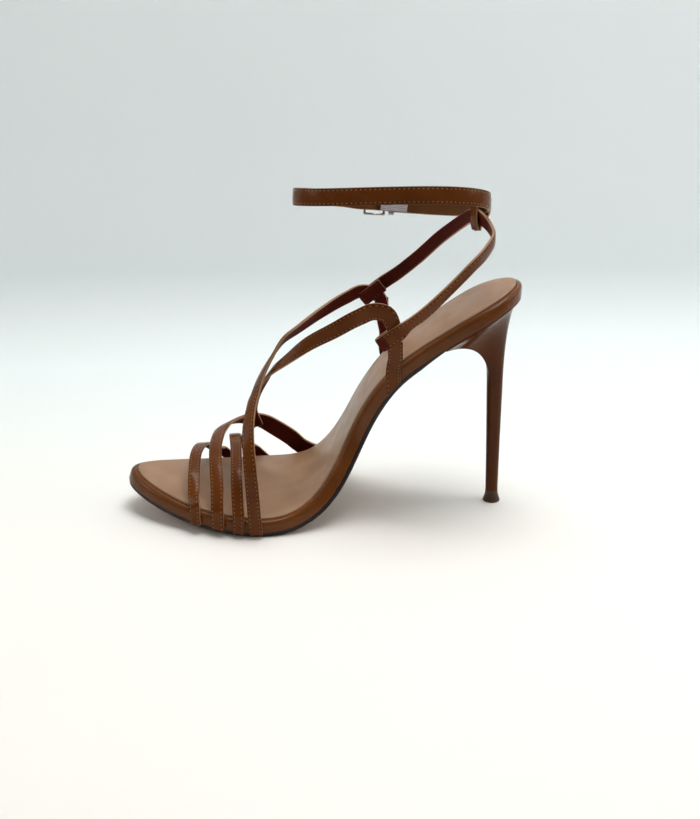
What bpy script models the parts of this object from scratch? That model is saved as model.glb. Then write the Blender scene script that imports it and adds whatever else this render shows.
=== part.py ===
"""Strappy heeled sandal, right shoe, standing on its forefoot and its heel tip.

Frame: metres, +Z up, the floor is z = 0, +X from the toe to the heel, +Y to the outer (lateral) side.
The sole pieces are modelled flat, as a maker cuts them, and then laid along the last's curve. Every strap
is a ribbon that follows a route over the last, and the routes' tables are shares of the sizes below.
"""

import math

import bmesh
import bpy
import numpy as np
from mathutils import Matrix, Vector

MM = 0.001

# Last and sole
INSOLE_LENGTH = 241 * MM  # along the insole's curve, heel to toe
HEEL_HEIGHT = 114.5 * MM  # top of the insole board above the floor, at the back
BALL_WIDTH = 80 * MM
BOARD = 6 * MM  # wrapped board, the rim that shows all round
BOARD_ROUND = 1.6 * MM
HEEL_CAP = 28 * MM  # length over which the outline rounds off at the heel
TOE_CAP = 70 * MM  # and at the toe
OUTSOLE = 2 * MM
OUTSOLE_INSET = 0.4 * MM
TREAD_FLAT = 0.18 * MM  # how much the outsole's lowest line is pressed flat on the floor
SOCK = 1.2 * MM
SOCK_INSET = 2.4 * MM
GAP = 0.3 * MM  # air between curved pieces that touch

# Heel
SEAT_LENGTH = 38 * MM  # of the heel's top, along the insole
SEAT_INSET = 1.0 * MM
STEM_TOP = 60 * MM  # height at which the heel has narrowed to its stem
STEM_BACK = 11.3 * MM  # stem's axis from the back of the heel
STEM_TOP_R = 3.9 * MM
STEM_FOOT_R = 3.1 * MM
TIP_HEIGHT = 6.2 * MM
TIP_R = 4.25 * MM

# Straps
STRAP_WIDTH = 6.6 * MM
TOE_STRAP_WIDTH = 5.6 * MM
STRAP = 1.8 * MM  # leather and lining together
INSTEP_RISE = 60 * MM  # height over the insole where the two long straps cross

# Ankle strap and what is on it
LOOP_LENGTH = 89.6 * MM
LOOP_WIDTH = 54 * MM
LOOP_RISE = 39 * MM  # over the heel seat, at the loop's middle
LOOP_BACK = 61.4 * MM  # the loop's middle from the back of the heel
LOOP_SIDE_TILT = -0.246  # the outer side hangs lower
LOOP_FRONT_TILT = 0.050
LOOP_TWIST = 0.057  # how much more the outer side rises forward than the middle does, and the inner side less
ANKLE_WIDTH = 8.2 * MM
BUCKLE_LENGTH = 10.6 * MM
BUCKLE_BAR = 1.6 * MM
BUCKLE_SIDE_GAP = 0.6 * MM
PRONG_R = 0.65 * MM
PRONG_HOLE_R = 1.1 * MM
ELASTIC = 1.2 * MM
ELASTIC_LENGTH = 10.5 * MM
TAIL_LENGTH = 50 * MM  # from the buckle's middle
LOOP_BAND = 2.6 * MM  # width of the metal loop behind the buckle
LOOP_WIRE = 1.0 * MM
LOOP_BEHIND = 2.6 * MM  # its middle behind the buckle's rear edge
KEEPER_WIDTH = 6.5 * MM
KEEPER = 1.1 * MM
RIM_CLEAR = 2.5 * MM  # how far a strap keeps straight up past the rim's top edge
RIM_GAP = 0.45 * MM  # air between a flat strap and the curved rim
SLING_INSIDE = 2.5 * MM  # how far the sling strap runs inside the ankle strap there
KEEPER_DROP = 13.2 * MM  # how far the back keeper hangs below the ankle strap's middle

HALF_BALL = BALL_WIDTH / 2
HEEL_UPRIGHT = 0.12  # share of the insole over which its edge turns from upright to square with the sole

# The last, from heel to toe. All four columns are shares: of the insole's length, of the shank's slope, and
# of half the ball's width.
LAST = (
    # along, slope, centre line, half width
    (0.00, 0.305, 0.000, 0.605),
    (0.12, 0.490, 0.000, 0.610),
    (0.25, 0.590, 0.030, 0.560),
    (0.37, 0.885, 0.120, 0.545),
    (0.48, 1.000, 0.180, 0.630),
    (0.58, 0.765, 0.130, 0.850),
    (0.68, 0.100, 0.060, 1.020),
    (0.82, -0.120, 0.010, 0.940),
    (1.00, -0.330, 0.000, 0.690),
)

# The axis of the foot that the straps wrap: shares of the sole's flat length and of the instep's rise,
# the second measured from the floor.
FOOT_AXIS = (
    # along, height
    (1.00, 0.24),
    (0.80, 0.18),
    (0.67, 0.22),
    (0.56, 0.60),
    (0.45, 1.05),
    (0.38, 1.60),
    (0.32, 2.20),
    (0.31, 3.10),
)

# Routes of the straps. along is a share of the sole's flat length from the back of the heel, across of half
# the ball's width, rise of INSTEP_RISE above the board at that place, width of the strap's own width.
SLING = (
    # along, across, rise, width
    (0.316, -0.625, 0.125, 1.05),
    (0.319, -0.675, 0.300, 1.05),
    (0.308, -0.688, 0.334, 1.05),
    (0.290, -0.688, 0.322, 1.00),
    (0.250, -0.700, 0.318, 1.00),
    (0.190, -0.675, 0.361, 1.00),
    (0.136, -0.600, 0.413, 1.00),
    (0.097, -0.425, 0.439, 1.00),
    (0.077, -0.225, 0.480, 1.00),
    (0.080, -0.075, 0.528, 1.00),
    (0.088, 0.038, 0.555, 1.00),
    (0.102, 0.175, 0.578, 1.00),
    (0.122, 0.288, 0.600, 1.00),
    (0.147, 0.388, 0.625, 1.00),
    (0.191, 0.588, 0.588, 1.00),
    (0.248, 0.700, 0.538, 1.00),
    (0.303, 0.725, 0.537, 1.00),
    (0.329, 0.722, 0.550, 1.05),
    (0.341, 0.715, 0.525, 1.05),
    (0.342, 0.710, 0.435, 1.05),
    (0.337, 0.700, 0.262, 1.05),
    (0.331, 0.685, 0.120, 1.05),
)
INNER_VAMP = (
    (0.313, -0.675, 0.309, 0.95),
    (0.319, -0.675, 0.417, 1.05),
    (0.335, -0.675, 0.567, 1.20),
    (0.363, -0.675, 0.707, 1.20),
    (0.401, -0.650, 0.869, 1.15),
    (0.460, -0.575, 1.142, 1.05),
    (0.522, -0.400, 1.274, 1.00),
    (0.590, -0.150, 1.187, 0.95),
    (0.628, 0.000, 1.084, 0.95),
    (0.653, 0.200, 0.926, 0.95),
    (0.663, 0.350, 0.819, 0.90),
    (0.677, 0.600, 0.642, 0.90),
    (0.682, 0.850, 0.434, 0.90),
    (0.674, 0.950, 0.359, 0.90),
)
OUTER_VAMP = (
    (0.340, 0.705, 0.370, 0.95),
    (0.345, 0.705, 0.480, 1.00),
    (0.360, 0.705, 0.615, 1.00),
    (0.392, 0.700, 0.775, 1.00),
    (0.434, 0.625, 0.998, 1.00),
    (0.496, 0.475, 1.240, 1.00),
    (0.559, 0.300, 1.283, 1.00),
    (0.591, 0.200, 1.254, 1.00),
    (0.623, 0.075, 1.133, 1.00),
    (0.645, -0.100, 1.035, 0.95),
    (0.660, -0.350, 0.938, 0.95),
    (0.670, -0.550, 0.838, 0.95),
    (0.674, -0.750, 0.724, 0.95),
    (0.672, -0.900, 0.596, 0.95),
    (0.668, -0.988, 0.427, 0.95),
    (0.665, -1.012, 0.194, 0.95),
)
SIDE_BAND = (
    (0.599, 1.050, 0.165, 1.40),
    (0.640, 1.035, 0.273, 1.40),
    (0.671, 0.980, 0.348, 1.30),
    (0.705, 0.880, 0.394, 1.10),
    (0.733, 0.750, 0.411, 1.00),
    (0.757, 0.600, 0.409, 0.95),
    (0.772, 0.375, 0.403, 0.95),
    (0.776, 0.100, 0.396, 0.95),
    (0.774, -0.200, 0.372, 0.95),
    (0.766, -0.500, 0.300, 0.95),
    (0.759, -0.750, 0.200, 0.95),
)
SECOND_TOE_STRAP = (
    (0.718, 0.938, 0.110, 1.00),
    (0.733, 0.800, 0.195, 1.00),
    (0.741, 0.650, 0.284, 1.00),
    (0.739, 0.450, 0.345, 1.00),
    (0.732, 0.200, 0.380, 1.00),
    (0.723, -0.100, 0.385, 1.00),
    (0.715, -0.450, 0.345, 1.00),
    (0.710, -0.725, 0.255, 1.00),
    (0.706, -0.900, 0.135, 1.00),
)
FIRST_TOE_STRAP = (
    (0.798, 0.790, 0.095, 1.00),
    (0.814, 0.625, 0.175, 1.00),
    (0.824, 0.400, 0.240, 1.00),
    (0.829, 0.150, 0.268, 1.00),
    (0.829, -0.150, 0.265, 1.00),
    (0.825, -0.425, 0.215, 1.00),
    (0.821, -0.650, 0.130, 1.00),
)

# Where the straps' ends tuck in at the rim: shares of the sole's flat length at the outsole and at the top
# edge, then the side, -1 for the inner side.
RIM_ENDS = {
    "sling_inner": (0.338, 0.322, -1),
    "sling_outer": (0.340, 0.326, 1),
    "outer_vamp": (0.660, 0.663, -1),
    "side_band_outer": (0.532, 0.556, 1),
    "side_band_inner": (0.752, 0.755, -1),
    "second_outer": (0.655, 0.685, 1),
    "second_inner": (0.702, 0.703, -1),
    "first_outer": (0.740, 0.770, 1),
    "first_inner": (0.808, 0.813, -1),
}

# Where the buckle and the keeper sit on the ankle loop, in radians from its front, inner side first.
BUCKLE_AT = -1.43
KEEPER_AT = math.pi + 0.24

COLOURS = {
    # material: colour, roughness, metallic
    "patent_leather": ((0.42, 0.24, 0.13), 0.18, 0.0),
    "sock_leather": ((0.40, 0.25, 0.15), 0.55, 0.0),
    "outsole_leather": ((0.38, 0.23, 0.13), 0.35, 0.0),
    "heel_lacquer": ((0.42, 0.24, 0.13), 0.15, 0.0),
    "tip_rubber": ((0.10, 0.05, 0.03), 0.50, 0.0),
    "elastic_web": ((0.60, 0.57, 0.60), 0.80, 0.0),
    "buckle_metal": ((0.78, 0.78, 0.80), 0.20, 1.0),
}


def clear_scene():
    for thing in list(bpy.data.objects):
        bpy.data.objects.remove(thing, do_unlink=True)


def smooth(xs, ys, x):
    """Cubic through the points (xs, ys), read at x."""
    xs, ys, x = (np.asarray(v, dtype=float) for v in (xs, ys, x))
    slopes = np.gradient(ys, xs)
    i = np.clip(np.searchsorted(xs, x, side="right") - 1, 0, len(xs) - 2)
    step = xs[i + 1] - xs[i]
    t = (x - xs[i]) / step
    return (
        (2 * t**3 - 3 * t**2 + 1) * ys[i]
        + (t**3 - 2 * t**2 + t) * step * slopes[i]
        + (3 * t**2 - 2 * t**3) * ys[i + 1]
        + (t**3 - t**2) * step * slopes[i + 1]
    )


class Last:
    """The curve of the insole in side view, and its outline, from the table and the heel's height."""

    STEPS = 240

    def __init__(self):
        table = np.array(LAST)
        self.share = np.linspace(0, 1, self.STEPS + 1)
        self.rate = smooth(table[:, 0], table[:, 1], self.share)
        low, high = math.radians(5), math.radians(85)
        for _ in range(40):  # the shank's slope that gives the heel's height
            shank = (low + high) / 2
            self.lay(shank)
            low, high = (shank, high) if self.z[0] < HEEL_HEIGHT else (low, shank)
        self.centre = smooth(table[:, 0], table[:, 2], self.share) * HALF_BALL
        width = smooth(table[:, 0], table[:, 3], self.share) * HALF_BALL
        from_heel = np.minimum(self.share * INSOLE_LENGTH / HEEL_CAP, 1)
        from_toe = np.minimum((1 - self.share) * INSOLE_LENGTH / TOE_CAP, 1)
        self.half = width * np.sqrt(1 - (1 - from_heel) ** 2) * np.sqrt(1 - (1 - from_toe) ** 2.2)
        self.flat_length = self.flat[-1]

    def lay(self, shank):
        """Run along the slopes from the back, then set the outsole's lowest line on the floor."""
        angle = self.rate * shank
        middle = (angle[1:] + angle[:-1]) / 2
        step = INSOLE_LENGTH / self.STEPS
        self.angle = angle
        self.flat = np.concatenate(([0], np.cumsum(np.cos(middle) * step)))
        self.z = -np.concatenate(([0], np.cumsum(np.sin(middle) * step)))
        under = self.z - (BOARD + GAP + OUTSOLE) * np.cos(angle)
        self.z -= under.min() + TREAD_FLAT

    def at(self, share, across, above):
        """A point over the insole: share of its length, metres across, metres above the board's top."""
        lean = np.interp(share, self.share, self.angle) * min(1, max(0, share) / HEEL_UPRIGHT)
        x = -np.interp(share, self.share, self.flat) - above * math.sin(lean)
        z = np.interp(share, self.share, self.z) + above * math.cos(lean)
        return Vector((x, across, z))

    def share_at(self, along):
        """Share of the insole's length for a share of its flat length."""
        return float(np.interp(along * self.flat_length, self.flat, self.share))

    def over(self, along, across, rise):
        """A strap's point, from its row in a route."""
        flat = along * self.flat_length
        z = np.interp(flat, self.flat, self.z) + rise * INSTEP_RISE
        return Vector((-flat, across * HALF_BALL, z))

    def edge(self, share, side):
        """Metres across of the outline on one side, and its slope there."""
        lateral = self.centre + side * self.half
        slope = np.gradient(lateral, self.share * INSOLE_LENGTH)
        return np.interp(share, self.share, lateral), np.interp(share, self.share, slope)

    def rim(self, along, side, drop):
        """A strap's middle outside the rim, drop below the board's top: point, outward normal, rim's run."""
        share = self.share_at(along)
        across, slope = self.edge(share, side)
        outward = Vector((-slope * side, side, 0)).normalized()
        step = (RIM_GAP + STRAP / 2) * outward
        point = self.at(share + step.x / INSOLE_LENGTH, across + step.y, -drop)
        forward = (self.at(share + 0.01, 0, 0) - self.at(share - 0.01, 0, 0)).normalized()
        normal = (forward * outward.x + Vector((0, outward.y, 0))).normalized()
        run = (forward + Vector((0, slope, 0))).normalized()
        return point, normal, run


last = Last()


def outline(inset, count=64):
    """The sole's outline cut flat: (metres along, metres across), lateral side first, set in by inset."""
    turn = np.linspace(0, 2 * math.pi, count, endpoint=False)
    share = (1 - np.cos(turn)) / 2
    side = np.where(turn <= math.pi, 1, -1)
    along = share * INSOLE_LENGTH
    across = np.interp(share, last.share, last.centre) + side * np.interp(share, last.share, last.half)
    ring = np.stack([along, across], 1)
    run = np.roll(ring, -1, 0) - np.roll(ring, 1, 0)
    run /= np.linalg.norm(run, axis=1)[:, None]
    return ring + inset * np.stack([-run[:, 1], run[:, 0]], 1) * -1


def material(name):
    """The named finish as a Principled material, made once."""
    if name in bpy.data.materials:
        return bpy.data.materials[name]
    colour, roughness, metallic = COLOURS[name]
    made = bpy.data.materials.new(name)
    made.use_nodes = True
    shader = made.node_tree.nodes["Principled BSDF"]
    shader.inputs["Base Color"].default_value = (*colour, 1)
    shader.inputs["Roughness"].default_value = roughness
    shader.inputs["Metallic"].default_value = metallic
    return made


def collection(name):
    if name not in bpy.data.collections:
        bpy.context.scene.collection.children.link(bpy.data.collections.new(name))
    return bpy.data.collections[name]


def to_object(bm, name, finish, cutter=False):
    """Close the bmesh into a named object of the sandal, or into a hidden cutter."""
    bm.normal_update()
    bmesh.ops.recalc_face_normals(bm, faces=bm.faces)
    bmesh.ops.triangulate(bm, faces=bm.faces)
    mesh = bpy.data.meshes.new(name)
    bm.to_mesh(mesh)
    bm.free()
    made = bpy.data.objects.new(name, mesh)
    mesh.materials.append(material(finish))
    collection("cutters" if cutter else "strappy_sandal").objects.link(made)
    if cutter:
        made.hide_render = True
        made.display_type = "WIRE"
    return made


def boolean(target, other, operation):
    change = target.modifiers.new(f"{operation.lower()} {other.name}", "BOOLEAN")
    change.operation = operation
    change.solver = "EXACT"
    change.object = other


def lay_on_last(bm):
    """Bend flat work over the last: x is metres along the insole, z metres above the board's top."""
    for vert in bm.verts:
        vert.co = last.at(vert.co.x / INSOLE_LENGTH, vert.co.y, vert.co.z)


def plate(name, finish, low, high, inset, rounding, start=0.0, segments=2, stations=48):
    """A sole layer: the outline between two heights, its edges rounded, cut across and bent on the last."""
    bm = bmesh.new()
    ring = [bm.verts.new((a, b, low)) for a, b in outline(inset)]
    bottom = bm.faces.new(ring)
    top = bmesh.ops.extrude_face_region(bm, geom=[bottom])["geom"]
    raised = [part for part in top if isinstance(part, bmesh.types.BMVert)]
    bmesh.ops.translate(bm, vec=(0, 0, high - low), verts=raised)
    if rounding:
        edges = [e for e in bm.edges if abs(e.verts[0].co.z - e.verts[1].co.z) < GAP / 10]
        bmesh.ops.bevel(
            bm, geom=edges, offset=rounding, segments=segments, profile=0.5, affect="EDGES", material=-1
        )
    if start:
        cut = bmesh.ops.bisect_plane(
            bm, geom=bm.verts[:] + bm.edges[:] + bm.faces[:], plane_co=(start, 0, 0), plane_no=(1, 0, 0),
            clear_inner=True,
        )["geom_cut"]
        bmesh.ops.contextual_create(bm, geom=[e for e in cut if isinstance(e, bmesh.types.BMEdge)])
    for i in range(1, stations):
        bmesh.ops.bisect_plane(
            bm, geom=bm.verts[:] + bm.edges[:] + bm.faces[:],
            plane_co=(INSOLE_LENGTH * i / stations, 0, 0), plane_no=(1, 0, 0),
        )
    lay_on_last(bm)
    for vert in bm.verts:  # the tread stands flat on the floor
        vert.co.z = max(vert.co.z, 0)
    return to_object(bm, name, finish)


def foot_normal(point, tangent):
    """Outward from the foot's axis, square to the strap's run."""
    axis = [Vector((-a * last.flat_length, 0, h * INSTEP_RISE)) for a, h in FOOT_AXIS]
    nearest = None
    for a, b in zip(axis[:-1], axis[1:]):
        t = max(0, min(1, (point - a).dot(b - a) / (b - a).length_squared))
        spot = a.lerp(b, t)
        if nearest is None or (point - spot).length < (point - nearest).length:
            nearest = spot
    out = point - nearest
    return (out - out.project(tangent)).normalized()


def run_along(points, values, count):
    """Read smooth curves through the points, and through the values at them, at even steps."""
    points = np.array([tuple(p) for p in points])
    values = np.array([tuple(v) if hasattr(v, "__len__") else (v,) for v in values])
    gone = np.concatenate(([0], np.cumsum(np.linalg.norm(np.diff(points, axis=0), axis=1))))
    at = np.linspace(0, gone[-1], count)
    curve = np.stack([smooth(gone, points[:, k], at) for k in range(3)], 1)
    read = np.stack([smooth(gone, values[:, k], at) for k in range(values.shape[1])], 1)
    return [Vector(p) for p in curve], read


def ribbon(name, points, normals, widths, thick, finish, cutter=False, skews=None):
    """A flat strap along the points: an open strip, made solid to its thickness. skews slant its cuts."""
    bm = bmesh.new()
    pairs = []
    skews = [0.0] * len(points) if skews is None else skews
    for i, (point, normal, width, skew) in enumerate(zip(points, normals, widths, skews)):
        run = (points[min(i + 1, len(points) - 1)] - points[max(i - 1, 0)]).normalized()
        out = (normal - normal.project(run)).normalized()
        side = run.cross(out) + run * skew
        pairs.append([bm.verts.new(point + side * (half * width)) for half in (-0.5, 0.5)])
    for (a, b), (d, c) in zip(pairs[:-1], pairs[1:]):
        bm.faces.new((a, b, c, d))
    made = to_object(bm, name, finish, cutter)
    shell = made.modifiers.new("thickness", "SOLIDIFY")
    shell.thickness = thick
    shell.offset = 0
    shell.use_even_offset = True
    return made


def tuck(key, width):
    """Stops of a strap's end, from the outsole's edge up the rim and a little over it."""
    low, high, side = RIM_ENDS[key]
    stops = []
    for drop in (BOARD - GAP / 2, BOARD / 2, 0, -RIM_CLEAR):
        along = high + (low - high) * drop / BOARD
        point, normal, run = last.rim(along, side, drop)
        stops.append((point, width, normal, run if drop > 0 else None))
    return stops


def strap(name, rows, width, start=None, end=None, cutter=False, spacing=3.2 * MM):
    """A strap over the foot: its rows, with its ends laid against the rim where it has them."""
    route = [(last.over(*row[:3]), row[3], None, None) for row in rows]
    if start:
        route = tuck(start, rows[0][3]) + route
    if end:
        route = route + tuck(end, rows[-1][3])[::-1]
    points = [r[0] for r in route]
    values = []
    for i, (point, share, normal, rim) in enumerate(route):
        run = (points[min(i + 1, len(points) - 1)] - points[max(i - 1, 0)]).normalized()
        normal = normal or foot_normal(point, run)
        side = run.cross(normal).normalized()
        skew = rim.dot(run) / rim.dot(side) if rim else 0.0
        values.append((*normal, share, skew))
    length = sum((b - a).length for a, b in zip(points[:-1], points[1:]))
    count = max(6, round(length / spacing))
    curve, read = run_along(points, values, count)
    faces = [Vector(v[:3]) for v in read]
    return ribbon(name, curve, faces, read[:, 3] * width, STRAP, "patent_leather", cutter, read[:, 4])


def make_sole():
    plate("insole_board", "patent_leather", -BOARD, 0, 0, BOARD_ROUND)
    plate("insole_sock", "sock_leather", GAP, GAP + SOCK, SOCK_INSET, 0)
    low = -BOARD - GAP - OUTSOLE
    plate("outsole", "outsole_leather", low, low + OUTSOLE, OUTSOLE_INSET, 0, start=SEAT_LENGTH + GAP)


def heel_seat(count=16):
    """The heel's top ring, flat: round the back of the outline, then across the breast."""
    ring = outline(SEAT_INSET, 96)
    back = sorted((p for p in ring if p[0] < SEAT_LENGTH - MM), key=lambda p: math.atan2(p[1], STEM_BACK - p[0]))
    corner = back[-1][1]
    breast = []
    for k in range(count + 1):
        across = corner + (back[0][1] - corner) * k / count
        hollow = 4 * MM * math.sin(math.pi * k / count)
        breast.append((SEAT_LENGTH - hollow, across))
    return [tuple(p) for p in back] + breast


def make_heel():
    """The wrapped heel: its seat follows the board, and its walls curve in to a round stem."""
    bm = bmesh.new()
    seat = heel_seat()
    tops = [last.at(a / INSOLE_LENGTH, b, -BOARD - GAP) for a, b in seat]
    axis_x = -STEM_BACK
    rings = [[bm.verts.new(p) for p in tops]]
    turns = [math.atan2(p.y, p.x - axis_x) for p in tops]

    def stem_radius(z):
        t = (z - TIP_HEIGHT) / (STEM_TOP - TIP_HEIGHT)
        return STEM_FOOT_R + (STEM_TOP_R - STEM_FOOT_R) * max(0, t) ** 1.3

    shares = [1 - math.cos(math.pi / 2 * k / 12) for k in range(1, 13)]
    for t in shares:
        ring = []
        for top, turn in zip(tops, turns):
            power = 2 + 1.5 * (1 - math.cos(turn)) / 2
            inward = (1 - (1 - t) ** power) ** (1 / power)
            z = top.z + (STEM_TOP - top.z) * t
            foot = Vector((axis_x + STEM_TOP_R * math.cos(turn), STEM_TOP_R * math.sin(turn), z))
            ring.append(bm.verts.new((top.x + (foot.x - top.x) * inward, top.y + (foot.y - top.y) * inward, z)))
        rings.append(ring)
    for k in range(1, 7):
        z = STEM_TOP + (TIP_HEIGHT + GAP - STEM_TOP) * k / 6
        radius = stem_radius(z)
        rings.append([bm.verts.new((axis_x + radius * math.cos(a), radius * math.sin(a), z)) for a in turns])
    for before, after in zip(rings[:-1], rings[1:]):
        for k in range(len(seat)):
            j = (k + 1) % len(seat)
            bm.faces.new((before[k], before[j], after[j], after[k]))
    bm.faces.new(rings[0])
    bm.faces.new(rings[-1][::-1])
    to_object(bm, "heel", "heel_lacquer")


def make_heel_tip():
    """The flared top piece on the floor: its profile, turned about the stem's axis."""
    bm = bmesh.new()
    profile = [(0, TIP_HEIGHT), (STEM_FOOT_R, TIP_HEIGHT)]
    for k in range(1, 6):
        t = k / 5
        profile.append((STEM_FOOT_R + (TIP_R - STEM_FOOT_R) * t**2, TIP_HEIGHT * (1 - t * 0.92)))
    profile += [(TIP_R, 0), (0, 0)]
    verts = [bm.verts.new((r, 0, z)) for r, z in profile]
    for pair in zip(verts[:-1], verts[1:]):
        bm.edges.new(pair)
    tip = to_object(bm, "heel_tip", "tip_rubber")
    tip.location.x = -STEM_BACK
    turned = tip.modifiers.new("turned", "SCREW")
    turned.steps = turned.render_steps = 28
    turned.use_merge_vertices = True
    turned.merge_threshold = 0.01 * MM


def make_upper():
    """The long straps, joined where they cross and where their ends are folded over each other."""
    upper = strap("upper", SLING, STRAP_WIDTH, "sling_inner", "sling_outer")
    for piece in (
        strap("inner_vamp_strap", INNER_VAMP, STRAP_WIDTH, cutter=True),
        strap("outer_vamp_strap", OUTER_VAMP, STRAP_WIDTH, end="outer_vamp", cutter=True),
        strap("side_band_strap", SIDE_BAND, STRAP_WIDTH, "side_band_outer", "side_band_inner", cutter=True),
    ):
        boolean(upper, piece, "UNION")
    strap("toe_strap_second", SECOND_TOE_STRAP, TOE_STRAP_WIDTH, "second_outer", "second_inner")
    strap("toe_strap_first", FIRST_TOE_STRAP, TOE_STRAP_WIDTH, "first_outer", "first_inner")


def loop_point(turn, out=0.0):
    """A point of the ankle loop, its outward normal and the strap's upward side."""
    power = 2 / 2.2

    def read(a):
        c, s = math.cos(a), math.sin(a)
        x = -LOOP_BACK - LOOP_LENGTH / 2 * math.copysign(abs(c) ** power, c)
        y = -LOOP_WIDTH / 2 * math.copysign(abs(s) ** power, s)
        forward = -x - LOOP_BACK
        lean = LOOP_FRONT_TILT + LOOP_TWIST * y / (LOOP_WIDTH / 2)
        return Vector((x, y, HEEL_HEIGHT + LOOP_RISE + LOOP_SIDE_TILT * y + lean * forward))

    run = (read(turn + 0.01) - read(turn - 0.01)).normalized()
    up = Vector((LOOP_FRONT_TILT, -LOOP_SIDE_TILT, 1)).normalized()
    normal = up.cross(run).normalized()
    spot = read(turn)
    if (spot - Vector((-LOOP_BACK, 0, spot.z))).dot(normal) < 0:
        normal = -normal
    return spot + normal * out, normal, up


def buckle_frame():
    """Axes at the buckle: its middle, forward along the strap, outward and up."""
    spot, normal, up = loop_point(BUCKLE_AT)
    forward = normal.cross(up).normalized()
    if forward.x > 0:
        forward = -forward
    return spot, forward, normal, up


def at_buckle(forward, out, up=0.0):
    spot, f, n, u = buckle_frame()
    return spot + f * forward + n * out + u * up


def axes_at(spot, out, up):
    """Where a piece on the ankle strap stands: X along the strap, Y outward, Z up."""
    along = out.cross(up).normalized()
    return Matrix.Translation(spot) @ Matrix((along, out, up)).transposed().to_4x4()


def block(name, finish, place, spans, cutter=False, rounding=0.0):
    """A block in the axes of place, from its low and high values along, outward and up."""
    bm = bmesh.new()
    bmesh.ops.create_cube(bm, size=1)
    for vert in bm.verts:
        vert.co = Vector([low + (co + 0.5) * (high - low) for co, (low, high) in zip(vert.co, spans)])
    if rounding:
        edges = [e for e in bm.edges if abs(e.verts[0].co.x - e.verts[1].co.x) > GAP]
        bmesh.ops.bevel(
            bm, geom=edges, offset=rounding, segments=2, profile=0.5, affect="EDGES", material=-1
        )
    made = to_object(bm, name, finish, cutter)
    made.matrix_world = place
    return made


BUCKLE_HALF = BUCKLE_LENGTH / 2
BAR_MIDDLE = BUCKLE_HALF - BUCKLE_BAR / 2
FRAME_OUT = STRAP / 2 - 0.4 * MM + GAP + BUCKLE_BAR / 2  # the frame's middle, outside the incoming strap
TAIL_OVER = FRAME_OUT + BUCKLE_BAR / 2 + GAP + STRAP / 2  # the strap's middle where it lies on the rear bar
TAIL_BESIDE = STRAP + 0.6 * MM  # the tail's middle from the strap under it


def loop_spot(distance, out):
    """A point on the loop, a length behind the buckle, along its curve."""
    turn, gone = BUCKLE_AT, 0.0
    before = loop_point(turn)[0]
    step = -0.01 if distance > 0 else 0.01
    while gone < abs(distance):
        turn += step
        after = loop_point(turn)[0]
        gone += (after - before).length
        before = after
    spot, normal, up = loop_point(turn, out)
    return spot, normal, up, turn


def make_ankle_strap():
    """One strap: from the elastic round the back and the front, out through the buckle, to its free tail."""
    start = loop_spot(BUCKLE_HALF + ELASTIC_LENGTH, 0)[3] + 2 * math.pi
    stop = loop_spot(-BUCKLE_HALF - 9 * MM, 0)[3]
    route = []
    for turn in np.linspace(start, stop, 58):
        spot, normal, _ = loop_point(turn)
        route.append((spot, normal))
    normal = buckle_frame()[2]
    dip = -0.55 * MM
    for forward, out in (
        (BUCKLE_HALF + 2 * MM, dip),
        (BAR_MIDDLE, dip),
        (BAR_MIDDLE - 3 * MM, 0.3 * MM),
        (0, TAIL_OVER * 0.5),
        (-BAR_MIDDLE + 3 * MM, TAIL_OVER - 0.2 * MM),
        (-BAR_MIDDLE, TAIL_OVER),
    ):
        route.append((at_buckle(forward, out), normal))
    for behind, extra in ((4, 1.35), (9, 0.85), (14, 0.45), (20, 0.2), (28, 0.15), (36, 0.6)):
        spot, normal, _, _ = loop_spot(BUCKLE_HALF + behind * MM, TAIL_BESIDE + extra * MM)
        route.append((spot, normal))
    spot, normal, _, _ = loop_spot(TAIL_LENGTH, TAIL_BESIDE + 1.6 * MM)
    route.append((spot, normal))
    points, read = run_along([r[0] for r in route], [tuple(r[1]) for r in route], 96)
    normals = [Vector(v) for v in read]
    ankle = ribbon("ankle_strap", points, normals, [ANKLE_WIDTH] * len(points), STRAP, "patent_leather")
    bm = bmesh.new()
    deep = TAIL_OVER + 4 * STRAP
    bmesh.ops.create_cone(
        bm, segments=16, radius1=PRONG_HOLE_R, radius2=PRONG_HOLE_R, depth=deep, cap_ends=True
    )
    hole = to_object(bm, "prong_hole", "buckle_metal", cutter=True)
    spot, _, out, up = buckle_frame()
    hole.matrix_world = axes_at(at_buckle(-BAR_MIDDLE + PRONG_OFF, TAIL_OVER / 2), up, out)
    boolean(ankle, hole, "DIFFERENCE")


PRONG_OFF = BUCKLE_BAR / 2 + GAP + PRONG_R  # the prong's root in front of the rear bar


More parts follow.
